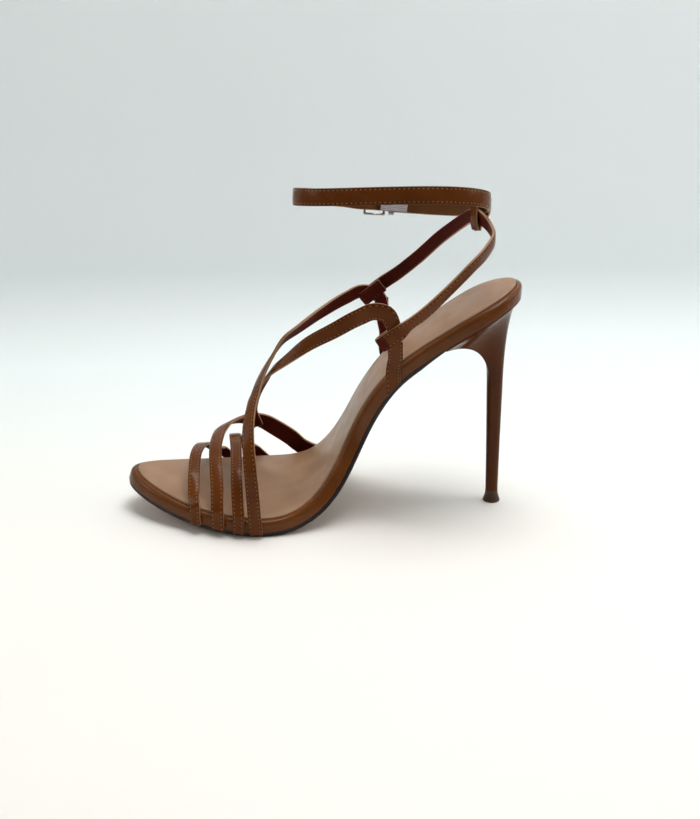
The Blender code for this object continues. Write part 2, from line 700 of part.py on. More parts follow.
def make_buckle():
    """A rectangular frame, and a prong that comes up through the strap and rests on the front bar."""
    spot, forward, out, up = buckle_frame()
    place = axes_at(spot, out, up)
    tall = ANKLE_WIDTH / 2 + BUCKLE_SIDE_GAP
    thick = (FRAME_OUT - BUCKLE_BAR / 2, FRAME_OUT + BUCKLE_BAR / 2)
    outer = tall + BUCKLE_BAR
    inner = BUCKLE_HALF - BUCKLE_BAR
    spans = ((-BUCKLE_HALF, BUCKLE_HALF), thick, (-outer, outer))
    frame = block("buckle_frame", "buckle_metal", place, spans)
    spans = ((-inner, inner), (thick[0] - MM, thick[1] + MM), (-tall, tall))
    window = block("buckle_window", "buckle_metal", place, spans, cutter=True)
    boolean(frame, window, "DIFFERENCE")
    rest = FRAME_OUT + BUCKLE_BAR / 2 + GAP + PRONG_R
    crown = TAIL_OVER + STRAP / 2 + GAP + PRONG_R + 0.5 * MM
    root = -BAR_MIDDLE + PRONG_OFF
    route = (
        (root, FRAME_OUT - 0.5 * MM),
        (root, TAIL_OVER - 0.3 * MM),
        (root + 0.3 * MM, crown - 0.5 * MM),
        (root + 1.6 * MM, crown),
        (0, (crown + rest) / 2 + 0.5 * MM),
        (BAR_MIDDLE - 2 * MM, rest + 0.2 * MM),
        (BUCKLE_HALF - 0.2 * MM, rest),
    )
    curve = bpy.data.curves.new("prong_line", "CURVE")
    curve.dimensions = "3D"
    curve.bevel_depth = PRONG_R
    curve.bevel_resolution = 2
    curve.use_fill_caps = True
    line = curve.splines.new("POLY")
    points, _ = run_along([at_buckle(a, b) for a, b in route], [0] * len(route), 16)
    line.points.add(len(points) - 1)
    for knot, point in zip(line.points, points):
        knot.co = (*point, 1)
    wire = bpy.data.objects.new("prong_wire", curve)
    bpy.context.scene.collection.objects.link(wire)
    mesh = bpy.data.meshes.new_from_object(wire.evaluated_get(bpy.context.evaluated_depsgraph_get()))
    bm = bmesh.new()
    bm.from_mesh(mesh)
    bmesh.ops.remove_doubles(bm, verts=bm.verts, dist=0.01 * MM)
    bpy.data.objects.remove(wire)
    to_object(bm, "buckle_prong", "buckle_metal")


def make_elastic():
    """The elastic between the rear bar and the start of the leather."""
    outward = buckle_frame()[2]
    route = [(at_buckle(-BUCKLE_HALF - 1.6 * GAP - far, FRAME_OUT), outward) for far in (0, 0.8 * MM)]
    for share, out in ((0.25, 0.75), (0.5, 0.4), (0.75, 0.1), (1.0, 0)):
        spot, normal, _, _ = loop_spot(BUCKLE_HALF + (ELASTIC_LENGTH - GAP) * share, FRAME_OUT * out)
        route.append((spot, normal))
    points, read = run_along([r[0] for r in route], [tuple(r[1]) for r in route], 10)
    normals = [Vector(v) for v in read]
    ribbon("buckle_elastic", points, normals, [ANKLE_WIDTH - 0.8 * MM] * len(points), ELASTIC, "elastic_web")


def ring_round(name, finish, place, long, outward, upward, wall):
    """A square ring of one wall, round the space that the outward and upward spans leave."""
    spans = (
        (-long / 2, long / 2),
        (outward[0] - wall, outward[1] + wall),
        (upward[0] - wall, upward[1] + wall),
    )
    ring = block(name, finish, place, spans, rounding=wall * 0.7)
    space = block(f"{name}_space", finish, place, ((-long, long), outward, upward), cutter=True)
    boolean(ring, space, "DIFFERENCE")


def make_metal_loop():
    """The metal loop that keeps the tail down, behind the buckle."""
    behind = BUCKLE_HALF + LOOP_BEHIND
    spot, normal, up, _ = loop_spot(behind, 0)
    tall = ANKLE_WIDTH / 2 + 0.4 * MM
    inside = FRAME_OUT * 0.65 - ELASTIC / 2 - 0.5 * MM
    outside = TAIL_OVER + STRAP / 2 + 0.8 * MM
    place = axes_at(spot, normal, up)
    ring_round("strap_loop", "buckle_metal", place, LOOP_BAND, (inside, outside), (-tall, tall), LOOP_WIRE)


def make_back_keeper():
    """The folded leather loop that ties the sling strap to the ankle strap at the back."""
    spot, normal, up = loop_point(KEEPER_AT)
    outward = (-STRAP / 2 - SLING_INSIDE - 0.4 * MM, STRAP / 2 + 0.6 * MM)
    upward = (-KEEPER_DROP, ANKLE_WIDTH / 2 + 0.5 * MM)
    place = axes_at(spot, normal, up)
    ring_round("back_keeper", "patent_leather", place, KEEPER_WIDTH, outward, upward, KEEPER)


def centre_on_floor():
    """Hang the sandal on an empty, and move that so the sandal's box is centred on the origin's X and Y."""
    bpy.context.view_layer.update()
    graph = bpy.context.evaluated_depsgraph_get()
    pieces = list(collection("strappy_sandal").objects)
    corners = []
    for piece in pieces:
        shape = piece.evaluated_get(graph).to_mesh()
        corners += [piece.matrix_world @ vert.co for vert in shape.vertices]
    middle = [(min(c[k] for c in corners) + max(c[k] for c in corners)) / 2 for k in range(2)]
    stand = bpy.data.objects.new("sandal_stand", None)
    collection("strappy_sandal").objects.link(stand)
    for piece in pieces + list(collection("cutters").objects):
        piece.parent = stand
    stand.location = (-middle[0], -middle[1], 0)


def main():
    clear_scene()
    make_sole()
    make_heel()
    make_heel_tip()
    make_upper()
    make_ankle_strap()
    make_buckle()
    make_elastic()
    make_metal_loop()
    make_back_keeper()
    centre_on_floor()


main()
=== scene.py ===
# %% [markdown]
# # A strappy heeled sandal, right shoe
# The sandal is a stack of thin pieces: a bent sole, a tall wrapped heel, and narrow straps of patent
# leather with a darker lining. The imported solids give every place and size. This lesson dresses them: each
# cell makes one piece as a shoemaker would, cut flat and then bent over the last, and gives it its finish.

# %% Load the solids
import math

import bmesh
import bpy
import numpy as np
from mathutils import Matrix, Vector


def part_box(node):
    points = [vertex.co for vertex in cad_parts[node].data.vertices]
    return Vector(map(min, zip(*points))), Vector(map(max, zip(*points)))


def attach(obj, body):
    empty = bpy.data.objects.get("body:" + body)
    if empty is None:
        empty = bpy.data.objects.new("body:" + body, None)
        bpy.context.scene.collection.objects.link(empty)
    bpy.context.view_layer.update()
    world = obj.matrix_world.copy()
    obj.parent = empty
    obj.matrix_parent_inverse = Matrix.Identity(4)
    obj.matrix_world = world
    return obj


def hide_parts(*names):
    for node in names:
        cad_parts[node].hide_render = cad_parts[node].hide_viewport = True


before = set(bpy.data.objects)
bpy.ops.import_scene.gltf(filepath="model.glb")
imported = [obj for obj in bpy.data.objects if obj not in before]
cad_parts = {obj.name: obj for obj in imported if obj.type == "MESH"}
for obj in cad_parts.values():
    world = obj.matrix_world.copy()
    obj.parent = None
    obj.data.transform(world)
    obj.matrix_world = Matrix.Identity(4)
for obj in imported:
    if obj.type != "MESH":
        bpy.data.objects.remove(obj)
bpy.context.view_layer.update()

MM = 0.001


def in_mm(values, digits=1):
    """Metres as rounded millimetres, for the printed lines."""
    return [round(v / MM, digits) for v in values]


# %% [markdown]
# ## Sizes
# A shoe is drawn from its last, so the named sizes of the solids are repeated here, in metres. The last's
# own origin is the back of the insole. The heel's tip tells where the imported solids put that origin.

# %% Sizes of the last, the sole and the heel
INSOLE_LENGTH = 241 * MM
HEEL_HEIGHT = 114.5 * MM
BALL_WIDTH = 80 * MM
HALF_BALL = BALL_WIDTH / 2
BOARD = 6 * MM
HEEL_CAP = 28 * MM
TOE_CAP = 70 * MM
OUTSOLE = 2 * MM
TREAD_FLAT = 0.18 * MM
SOCK = 1.2 * MM
GAP = 0.3 * MM
SEAT_LENGTH = 46 * MM
SEAT_INSET = 1.0 * MM
HEEL_FLANGE = 1.0 * MM
STEM_TOP = 60 * MM
STEM_BACK = 11.3 * MM
STEM_TOP_R = 3.9 * MM
STEM_FOOT_R = 3.1 * MM
TIP_HEIGHT = 6.2 * MM
TIP_R = 4.25 * MM
INSTEP_RISE = 60 * MM
HEEL_UPRIGHT = 0.12

tip_low, tip_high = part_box("heel_tip")
STAND = Vector(((tip_low.x + tip_high.x) / 2 + STEM_BACK, (tip_low.y + tip_high.y) / 2, 0))
print("the back of the insole stands at", in_mm(STAND, 2), "mm")

# %% [markdown]
# ## Sizes of the straps
# Every strap is cut from the same folded leather, so one thickness serves them all and only the widths
# differ. The ankle strap lies in a loop that leans and is a little twisted. The buckle and the keeper have
# their places on that loop as a turn in radians, and measures that follow from others are worked out here.

# %% Sizes of the straps and the buckle
STRAP_WIDTH = 6.6 * MM
TOE_STRAP_WIDTH = 5.6 * MM
STRAP = 1.6 * MM
CAD_STRAP = 1.8 * MM
RIM_CLEAR = 2.5 * MM
RIM_GAP = 0.45 * MM
LOOP_LENGTH = 89.6 * MM
LOOP_WIDTH = 54 * MM
LOOP_RISE = 39 * MM
LOOP_BACK = 61.4 * MM
LOOP_SIDE_TILT = -0.246
LOOP_FRONT_TILT = 0.050
LOOP_TWIST = 0.057
ANKLE_WIDTH = 8.2 * MM
BUCKLE_LENGTH = 10.6 * MM
BUCKLE_HALF = BUCKLE_LENGTH / 2
BUCKLE_BAR = 1.6 * MM
BUCKLE_SIDE_GAP = 0.6 * MM
PRONG_R = 0.65 * MM
ELASTIC = 1.2 * MM
ELASTIC_LENGTH = 10.5 * MM
TAIL_LENGTH = 50 * MM
LOOP_BAND = 2.6 * MM
LOOP_WIRE = 1.0 * MM
LOOP_BEHIND = 2.6 * MM
KEEPER_WIDTH = 6.5 * MM
KEEPER = 1.1 * MM
STRAP_CROWN = 0.22 * MM
CUT_STEP = 1.1 * MM
CUT_ROWS = 10
STITCH_PITCH = 2.1 * MM
SEAM_INSET = 1.0 * MM
THREAD_R = 0.17 * MM
THREAD_SUNK = 0.09 * MM
BUCKLE_AT = -1.43
KEEPER_AT = math.pi + 0.24
BAR_MIDDLE = BUCKLE_HALF - BUCKLE_BAR / 2
FRAME_OUT = CAD_STRAP / 2 - 0.4 * MM + GAP + BUCKLE_BAR / 2
TAIL_OVER = FRAME_OUT + BUCKLE_BAR / 2 + GAP + CAD_STRAP / 2
TAIL_BESIDE = CAD_STRAP + 0.6 * MM
print("a strap is", in_mm([STRAP_WIDTH, STRAP]), "mm wide and thick")
print("the ankle loop is", in_mm([LOOP_LENGTH, LOOP_WIDTH]), "mm long and wide")

# %% [markdown]
# ## The last
# The side view of a last is best kept as slopes along the insole: the shank is steep, the ball flattens out
# and the toe springs up again. Adding the slopes up gives the curve, whatever the heel's height is.

# %% The last's tables
LAST = (
    # along, slope, centre line, half width
    (0.00, 0.305, 0.000, 0.605),
    (0.12, 0.490, 0.000, 0.610),
    (0.25, 0.590, 0.030, 0.560),
    (0.37, 0.885, 0.120, 0.545),
    (0.48, 1.000, 0.180, 0.630),
    (0.58, 0.765, 0.130, 0.850),
    (0.68, 0.100, 0.060, 1.020),
    (0.82, -0.120, 0.010, 0.940),
    (1.00, -0.330, 0.000, 0.690),
)
FOOT_AXIS = (
    # along, height
    (1.00, 0.24),
    (0.80, 0.18),
    (0.67, 0.22),
    (0.56, 0.60),
    (0.45, 1.05),
    (0.38, 1.60),
    (0.32, 2.20),
    (0.31, 3.10),
)


def smooth(xs, ys, x):
    """Cubic through the points (xs, ys), read at x."""
    xs, ys, x = (np.asarray(v, dtype=float) for v in (xs, ys, x))
    slopes = np.gradient(ys, xs)
    i = np.clip(np.searchsorted(xs, x, side="right") - 1, 0, len(xs) - 2)
    step = xs[i + 1] - xs[i]
    t = (x - xs[i]) / step
    return (
        (2 * t**3 - 3 * t**2 + 1) * ys[i]
        + (t**3 - 2 * t**2 + t) * step * slopes[i]
        + (3 * t**2 - 2 * t**3) * ys[i + 1]
        + (t**3 - t**2) * step * slopes[i + 1]
    )


print("the last is read at", len(LAST), "places along the insole")

# %% [markdown]
# ## Standing on the last
# Flat work is bent over the last, so one object answers where a place on it is, from a share of the
# insole's length, a distance across and a distance above. The steepness of the shank that gives the right
# heel height is found by halving a span again and again: a short search is easier to follow than a solved
# equation.

# %% The last's curve and outline
class Last:
    """The shoe's last: its curve from the side, its outline from above, and places on both."""

    STEPS = 240
    HALVINGS = 40
    TOE_ROUNDNESS = 2.2

    def __init__(self):
        table = np.array(LAST)
        self.share = np.linspace(0, 1, self.STEPS + 1)
        self.rate = smooth(table[:, 0], table[:, 1], self.share)
        low, high = math.radians(5), math.radians(85)
        for _ in range(self.HALVINGS):
            shank = (low + high) / 2
            self.lay(shank)
            low, high = (shank, high) if self.z[0] < HEEL_HEIGHT else (low, shank)
        self.centre = smooth(table[:, 0], table[:, 2], self.share) * HALF_BALL
        self.half = np.array([self.half_at(share) for share in self.share])
        self.flat_length = self.flat[-1]

    def half_at(self, share):
        """Half the insole's width, rounded off at the heel and at the toe."""
        table = np.array(LAST)
        width = float(smooth(table[:, 0], table[:, 3], share)) * HALF_BALL
        from_heel = min(share * INSOLE_LENGTH / HEEL_CAP, 1)
        from_toe = min((1 - share) * INSOLE_LENGTH / TOE_CAP, 1)
        toe_rounding = math.sqrt(1 - (1 - from_toe) ** self.TOE_ROUNDNESS)
        return width * math.sqrt(1 - (1 - from_heel) ** 2) * toe_rounding

    def lay(self, shank):
        """Run along the slopes from the back, then set the outsole's lowest line on the floor."""
        angle = self.rate * shank
        middle = (angle[1:] + angle[:-1]) / 2
        step = INSOLE_LENGTH / self.STEPS
        self.angle = angle
        self.flat = np.concatenate(([0], np.cumsum(np.cos(middle) * step)))
        self.z = -np.concatenate(([0], np.cumsum(np.sin(middle) * step)))
        under = self.z - (BOARD + GAP + OUTSOLE) * np.cos(angle)
        self.z -= under.min() + TREAD_FLAT

    def at(self, share, across, above):
        """A point over the insole: share of its length, metres across, metres above the board's top."""
        lean = np.interp(share, self.share, self.angle) * min(1, max(0, share) / HEEL_UPRIGHT)
        x = -np.interp(share, self.share, self.flat) - above * math.sin(lean)
        z = np.interp(share, self.share, self.z) + above * math.cos(lean)
        return Vector((x, across, z))

    def share_at(self, along):
        return float(np.interp(along * self.flat_length, self.flat, self.share))

    def over(self, along, across, rise):
        """A strap's point, from its row in a route."""
        flat = along * self.flat_length
        z = np.interp(flat, self.flat, self.z) + rise * INSTEP_RISE
        return Vector((-flat, across * HALF_BALL, z))

    def edge(self, share, side):
        """Metres across of the outline on one side, and its slope there."""
        lateral = self.centre + side * self.half
        slope = np.gradient(lateral, self.share * INSOLE_LENGTH)
        return np.interp(share, self.share, lateral), np.interp(share, self.share, slope)

    def rim(self, along, side, drop):
        """A strap's middle outside the rim, drop below the board's top: point, outward normal, rim's run."""
        share = self.share_at(along)
        across, slope = self.edge(share, side)
        outward = Vector((-slope * side, side, 0)).normalized()
        step = (RIM_GAP + CAD_STRAP / 2) * outward
        point = self.at(share + step.x / INSOLE_LENGTH, across + step.y, -drop)
        forward = (self.at(share + 0.01, 0, 0) - self.at(share - 0.01, 0, 0)).normalized()
        normal = (forward * outward.x + Vector((0, outward.y, 0))).normalized()
        run = (forward + Vector((0, slope, 0))).normalized()
        return point, normal, run


last = Last()
print("the insole's length in plan and its heel's height in mm:", in_mm([last.flat_length, last.z[0]]))

# %% [markdown]
# ## Shader groups
# Patent leather is a smooth lacquer over a skin: the skin's waves are faint and broad, the gloss is broken
# by smudges. The lining and the sock are bare leather with open pores. One group makes the skin for all of
# them, one the smudges, and one the needle holes along a seam, so each finish only sets its own values.

# %% Helpers for node trees


def tone(code):
    """A colour from its usual six-digit code, as the linear values that shaders use."""
    values = [int(code[k:k + 2], 16) / 255 for k in (0, 2, 4)]
    return (*[v / 12.92 if v <= 0.04045 else ((v + 0.055) / 1.055) ** 2.4 for v in values], 1)


def put(tree, kind, feeds=None, **settings):
    """Adds a node, sets it, and feeds its sockets with values or with other sockets."""
    made = tree.nodes.new(kind)
    for name, value in settings.items():
        setattr(made, name, value)
    for name, value in (feeds or {}).items():
        if isinstance(value, bpy.types.NodeSocket):
            tree.links.new(value, made.inputs[name])
        else:
            made.inputs[name].default_value = value
    return made


def math_node(tree, operation, a, b=0.0):
    return put(tree, "ShaderNodeMath", {0: a, 1: b}, operation=operation).outputs[0]


def span(tree, value, low, high, to_low=0.0, to_high=1.0):
    """Maps a value from one span to another, clamped."""
    feeds = {"Value": value, "From Min": low, "From Max": high, "To Min": to_low, "To Max": to_high}
    return put(tree, "ShaderNodeMapRange", feeds, clamp=True).outputs["Result"]


def noise(tree, place, scale, detail):
    feeds = {"Vector": place, "Scale": scale, "Detail": detail}
    return put(tree, "ShaderNodeTexNoise", feeds).outputs["Fac"]


def blend(tree, share, a, b):
    made = put(tree, "ShaderNodeMix", data_type="RGBA")
    for socket, value in ((made.inputs[0], share), (made.inputs[6], a), (made.inputs[7], b)):
        if isinstance(value, bpy.types.NodeSocket):
            tree.links.new(value, socket)
        else:
            socket.default_value = value
    return made.outputs[2]


def new_group(name, takes, gives):
    tree = bpy.data.node_groups.new(name, "ShaderNodeTree")
    for label, kind, value in takes:
        socket = tree.interface.new_socket(label, in_out="INPUT", socket_type=kind)
        if value is not None:
            socket.default_value = value
    for label in gives:
        tree.interface.new_socket(label, in_out="OUTPUT", socket_type="NodeSocketFloat")
    return tree, tree.nodes.new("NodeGroupInput").outputs, tree.nodes.new("NodeGroupOutput").inputs


print("mid grey as a linear value:", round(tone("808080")[0], 3))

# %% [markdown]
# ## Skin
# Leather has pores a fraction of a millimetre apart, soft waves of a few millimetres where it is stretched,
# and colour that is uneven over centimetres. Three noises at those sizes make the three effects. Pores and
# waves go out together as one height, the uneven colour as a mask.

# %% Skin: pores, soft waves and uneven colour
skin, takes, gives = new_group(
    "skin",
    [("Vector", "NodeSocketVector", None), ("Pore Scale", "NodeSocketFloat", 1500.0),
     ("Pores", "NodeSocketFloat", 0.4), ("Waves", "NodeSocketFloat", 0.4)],
    ["Height", "Mottle"],
)
pores = put(skin, "ShaderNodeTexVoronoi", {"Vector": takes["Vector"], "Scale": takes["Pore Scale"]})
fine = noise(skin, takes["Vector"], takes["Pore Scale"], 3.0)
broad = noise(skin, takes["Vector"], 210.0, 2.0)
patches = noise(skin, takes["Vector"], 55.0, 5.0)
grain = math_node(skin, "ADD", math_node(skin, "MULTIPLY", pores.outputs["Distance"], 0.6), fine)
grain = math_node(skin, "MULTIPLY", grain, takes["Pores"])
swell = math_node(skin, "MULTIPLY", broad, takes["Waves"])
skin.links.new(math_node(skin, "ADD", grain, swell), gives["Height"])
skin.links.new(span(skin, patches, 0.32, 0.68), gives["Mottle"])
print("group:", skin.name)

# %% [markdown]
# ## Handling
# A shoe that has been in someone's hands is never evenly clean. Broad cloudy smudges dull the gloss, and a
# few fine specks of dust lie on top. Both are masks, so that each finish decides how much it shows of them.

# %% Handling: smudges on the lacquer, and fine dust
handling, takes, gives = new_group(
    "handling", [("Vector", "NodeSocketVector", None), ("Scale", "NodeSocketFloat", 90.0)], ["Smudge", "Dust"]
)
cloudy = noise(handling, takes["Vector"], takes["Scale"], 6.0)
specks = noise(handling, takes["Vector"], 2600.0, 1.0)
handling.links.new(span(handling, cloudy, 0.42, 0.66), gives["Smudge"])
handling.links.new(span(handling, specks, 0.70, 0.80), gives["Dust"])
print("group:", handling.name)

# %% [markdown]
# ## Seam
# A sewn strap has a row of needle holes along each edge, in a shallow groove that the thread pulls into the
# leather. They have to follow every bend, so they are drawn on the strap's map of its flat cut. The holes
# lie half a pitch off the whole pitches, and the stitches, which are real pieces of thread, lie between
# them.

# %% Seam: needle holes and groove, read from the strap's own map
seam, takes, gives = new_group(
    "seam",
    [("Cut Map", "NodeSocketVector", None), ("Pitch", "NodeSocketFloat", STITCH_PITCH),
     ("From Edge", "NodeSocketFloat", SEAM_INSET), ("Hole", "NodeSocketFloat", 0.20 * MM)],
    ["Hole Mask", "Groove"],
)
parts = put(seam, "ShaderNodeSeparateXYZ", {0: takes["Cut Map"]})
turn = math_node(seam, "FRACT", math_node(seam, "DIVIDE", parts.outputs["X"], takes["Pitch"]))
along = math_node(seam, "MULTIPLY", math_node(seam, "SUBTRACT", turn, 0.5), takes["Pitch"])
beside = math_node(seam, "SUBTRACT", parts.outputs["Y"], takes["From Edge"])
spread = put(seam, "ShaderNodeCombineXYZ", {"X": along, "Y": beside})
away = put(seam, "ShaderNodeVectorMath", {0: spread.outputs[0]}, operation="LENGTH").outputs["Value"]
rim_of_hole = math_node(seam, "MULTIPLY", takes["Hole"], 1.5)
seam.links.new(span(seam, away, takes["Hole"], rim_of_hole, 1.0, 0.0), gives["Hole Mask"])
line_away = math_node(seam, "ABSOLUTE", beside)
seam.links.new(span(seam, line_away, 0.1 * MM, 0.6 * MM, 1.0, 0.0), gives["Groove"])
print("group:", seam.name)

# %% [markdown]
# ## Finishes
# Every finish is a Principled BSDF. What is the same all over, such as the coat of lacquer, is set on the
# shader itself; colour, roughness and height come from the groups. A leather could have a shader tree of
# its own each time, but they differ in a dozen values only, so one function makes them all.

# %% Leather finishes


def new_finish(name):
    made = bpy.data.materials.new(name)
    made.use_nodes = True
    return made, made.node_tree


def feed_shader(tree, colour, roughness, height=None, depth=0.0, same_all_over=None):
    """Links what changes over the surface to the shader, and sets the sockets that don't change."""
    shader = tree.nodes["Principled BSDF"]
    tree.links.new(colour, shader.inputs["Base Color"])
    tree.links.new(roughness, shader.inputs["Roughness"])
    if height:
        bump = put(tree, "ShaderNodeBump", {"Height": height, "Strength": 1.0, "Distance": depth})
        tree.links.new(bump.outputs["Normal"], shader.inputs["Normal"])
    for socket, value in (same_all_over or {}).items():
        shader.inputs[socket].default_value = value


def leather(
    name, light, dark, gloss, dull, pore_scale, pores, waves, depth,
    coat=0.0, shine=0.35, stitched=False, sheen=0.0,
):
    """A leather or lacquer: two colours in patches, roughness between gloss and dull, and its relief."""
    made, tree = new_finish(name)
    place = put(tree, "ShaderNodeTexCoord").outputs["Object"]
    surface = put(tree, "ShaderNodeGroup", node_tree=skin)
    tree.links.new(place, surface.inputs["Vector"])
    surface.inputs["Pore Scale"].default_value = pore_scale
    surface.inputs["Pores"].default_value = pores
    surface.inputs["Waves"].default_value = waves
    marks = put(tree, "ShaderNodeGroup", node_tree=handling)
    tree.links.new(place, marks.inputs["Vector"])
    colour = blend(tree, surface.outputs["Mottle"], tone(light), tone(dark))
    height = surface.outputs["Height"]
    if stitched:
        cut = put(tree, "ShaderNodeUVMap", uv_map="cut").outputs["UV"]
        rows = put(tree, "ShaderNodeGroup", node_tree=seam)
        tree.links.new(cut, rows.inputs["Cut Map"])
        # The needle holes are darkened with painted shade, the shade that falls inside a hole.
        colour = blend(tree, rows.outputs["Hole Mask"], colour, tone("2a170c"))
        sunk = math_node(tree, "MULTIPLY", rows.outputs["Groove"], -0.9)
        sunk = math_node(tree, "ADD", sunk, math_node(tree, "MULTIPLY", rows.outputs["Hole Mask"], -1.6))
        height = math_node(tree, "ADD", height, sunk)
    colour = blend(tree, math_node(tree, "MULTIPLY", marks.outputs["Dust"], 0.10), colour, tone("d8cdbf"))
    roughness = span(tree, marks.outputs["Smudge"], 0.0, 1.0, gloss, dull)
    feed_shader(tree, colour, roughness, height, depth, {
        "Specular IOR Level": shine,
        "Coat Weight": coat,
        "Coat Roughness": 0.04,
        "Sheen Weight": sheen,
        "Sheen Roughness": 0.5,
    })
    return made


patent_strap = leather(
    "patent_strap", "663610", "582c0b", 0.18, 0.32, 1300, 0.10, 0.9, 0.00007, 0.11, shine=0.07, stitched=True
)
# The rim's copy of the patent is a little lighter than the straps': painted light from above on the rim.
patent_rim_painted_light = leather(
    "patent_rim_painted_light", "6c3c14", "5f330f", 0.16, 0.28, 1300, 0.10, 0.9, 0.00009, 0.20, shine=0.10
)
lining = leather("lining", "541506", "430f04", 0.60, 0.75, 2300, 0.9, 0.3, 0.00008, shine=0.12)
ankle_lining = leather("ankle_lining", "633c18", "523010", 0.45, 0.60, 2300, 0.7, 0.3, 0.00007, shine=0.2)
cut_edge = leather("cut_edge", "a67c58", "8e6644", 0.40, 0.55, 1900, 0.5, 0.3, 0.00005)
sock_leather = leather(
    "sock", "9f7858", "8e694a", 0.38, 0.52, 1900, 0.8, 0.6, 0.00007, shine=0.5, sheen=0.05
)
outsole_lacquer = leather("outsole_lacquer", "8c6238", "7c542e", 0.22, 0.40, 1100, 0.15, 0.8, 0.00010, 0.30)
edge_paint = leather("edge_paint", "20120b", "180d08", 0.50, 0.65, 1700, 0.4, 0.4, 0.00006)
# The heel's copy of the patent is darker than the straps': painted shade.
heel_lacquer = leather(
    "heel_lacquer", "562c0d", "492409", 0.12, 0.20, 1300, 0.06, 0.7, 0.00007, 0.13, shine=0.06
)
tip_rubber = leather("tip_rubber", "4a3020", "3a2417", 0.45, 0.65, 1500, 0.5, 0.4, 0.00006)
thread = leather("thread", "a47a4c", "8a6238", 0.50, 0.65, 4200, 0.9, 0.1, 0.00006)
lining_thread = leather("lining_thread", "6a3a26", "54291a", 0.55, 0.70, 4200, 0.9, 0.1, 0.00006)
print("leather finishes, from", patent_strap.name, "to", lining_thread.name)

# %% [markdown]
# ## Metal
# The buckle is a polished, silvery casting. Polishing leaves very fine lines, and fingers leave smudges. A
# noise that is stretched along one axis draws the lines, in the relief alone, so that the metal stays
# bright.

# %% Metal: brushed a little lengthwise, with soft smudges


def polished_metal():
    made, tree = new_finish("buckle_metal_polished")
    place = put(tree, "ShaderNodeTexCoord").outputs["Object"]
    stretch = put(tree, "ShaderNodeMapping", {"Vector": place, "Scale": (400.0, 4000.0, 4000.0)})
    lines = noise(tree, stretch.outputs[0], 1.0, 2.0)
    marks = put(tree, "ShaderNodeGroup", node_tree=handling)
    tree.links.new(place, marks.inputs["Vector"])
    marks.inputs["Scale"].default_value = 260.0
    colour = blend(tree, marks.outputs["Smudge"], tone("d2d2d4"), tone("b4b2b0"))
    roughness = span(tree, marks.outputs["Smudge"], 0.0, 1.0, 0.12, 0.28)
    feed_shader(tree, colour, roughness, lines, 0.008 * MM, {"Metallic": 1.0})
    return made


buckle_metal = polished_metal()
print("metal finish:", buckle_metal.name)

# %% [markdown]
# ## Elastic
# The short elastic is a woven band with ribs along it and threads across. Two wave textures on the band's
# own map draw them, the one along stronger than the one across, and their sum sets colour, gloss and relief
# at once. The colour is darker where the weave is low: painted shade between the ribs.

# %% Elastic: ribs along the band and a fine weave between them


def ribbed_elastic():
    made, tree = new_finish("elastic_ribbed")
    cut = put(tree, "ShaderNodeUVMap", uv_map="cut").outputs["UV"]
    ribs = put(
        tree, "ShaderNodeTexWave", {"Vector": cut, "Scale": 380.0, "Distortion": 0.6, "Detail": 1.0},
        wave_type="BANDS", bands_direction="Y",
    )
    cross = put(
        tree, "ShaderNodeTexWave", {"Vector": cut, "Scale": 620.0, "Distortion": 0.8},
        wave_type="BANDS", bands_direction="X",
    )
    weave = math_node(tree, "MULTIPLY", cross.outputs["Fac"], 0.5)
    weave = math_node(tree, "ADD", ribs.outputs["Fac"], weave)
    # Dark where the weave is low, light on the ribs: painted shade in the grooves.
    colour = blend(tree, span(tree, weave, 0.1, 1.4), tone("8f8688"), tone("d3cbcc"))
    roughness = span(tree, weave, 0.0, 1.5, 0.85, 0.65)
    feed_shader(tree, colour, roughness, weave, 0.22 * MM, {"Sheen Weight": 0.3})
    return made


elastic_web = ribbed_elastic()
print("elastic finish:", elastic_web.name)

# %% [markdown]
# ## From a bmesh to a piece
# Each piece is modelled where the last is, moved to where the solids stand, and then rides on the frame.
# Its modifiers are applied, so that what is measured is what is seen.

# %% Finishing a piece


def as_mesh(bm, name):
    mesh = bpy.data.meshes.new(name)
    bm.to_mesh(mesh)
    bm.free()
    return mesh


def in_scene(name, data):
    made = bpy.data.objects.new(name, data)
    bpy.context.scene.collection.objects.link(made)
    return made


def only(kind, geometry):
    """The vertices, edges or faces among what a bmesh operator gives back."""
    return [part for part in geometry if isinstance(part, kind)]


def to_piece(bm, name, finishes, stands_for=(), steps=(), sharp=35):
    """Links the bmesh as a piece: (modifier kind, settings) steps are applied, then it rides on the root."""
    bmesh.ops.translate(bm, vec=STAND, verts=bm.verts)
    mesh = as_mesh(bm, name)
    for finish in finishes:
        mesh.materials.append(finish)
    piece = in_scene(name, mesh)
    for kind, settings in steps:
        modifier = piece.modifiers.new(kind.lower(), kind)
        for key, value in settings.items():
            setattr(modifier, key, value)
    if steps:
        graph = bpy.context.evaluated_depsgraph_get()
        done = bpy.data.meshes.new_from_object(piece.evaluated_get(graph))
        piece.modifiers.clear()
        piece.data = done
        done.name = name
    piece.data.shade_smooth()
    piece.data.set_sharp_from_angle(angle=math.radians(sharp))
    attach(piece, "root")
    if stands_for:
        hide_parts(*stands_for)
    piece.data.calc_loop_triangles()
    print(name, len(piece.data.loop_triangles), "triangles")
    return piece


def bend_over_last(bm):
    """Flat work onto the last: x is metres along the insole, z metres above the board's top."""
    for vert in bm.verts:
        vert.co = last.at(vert.co.x / INSOLE_LENGTH, vert.co.y, vert.co.z)


print("a flat point 100 mm along lands at", in_mm(last.at(100 * MM / INSOLE_LENGTH, 0, 0)), "mm")

# %% [markdown]
# ## Sole layers
# Insole board, sock and outsole are all cut from the same outline. A circle is pulled to that outline and
# extruded, its edges are rounded while it is still flat, it is cut across every few millimetres, and only
# then is it bent over the last, as wet leather is.

# %% A flat plate, to be bent


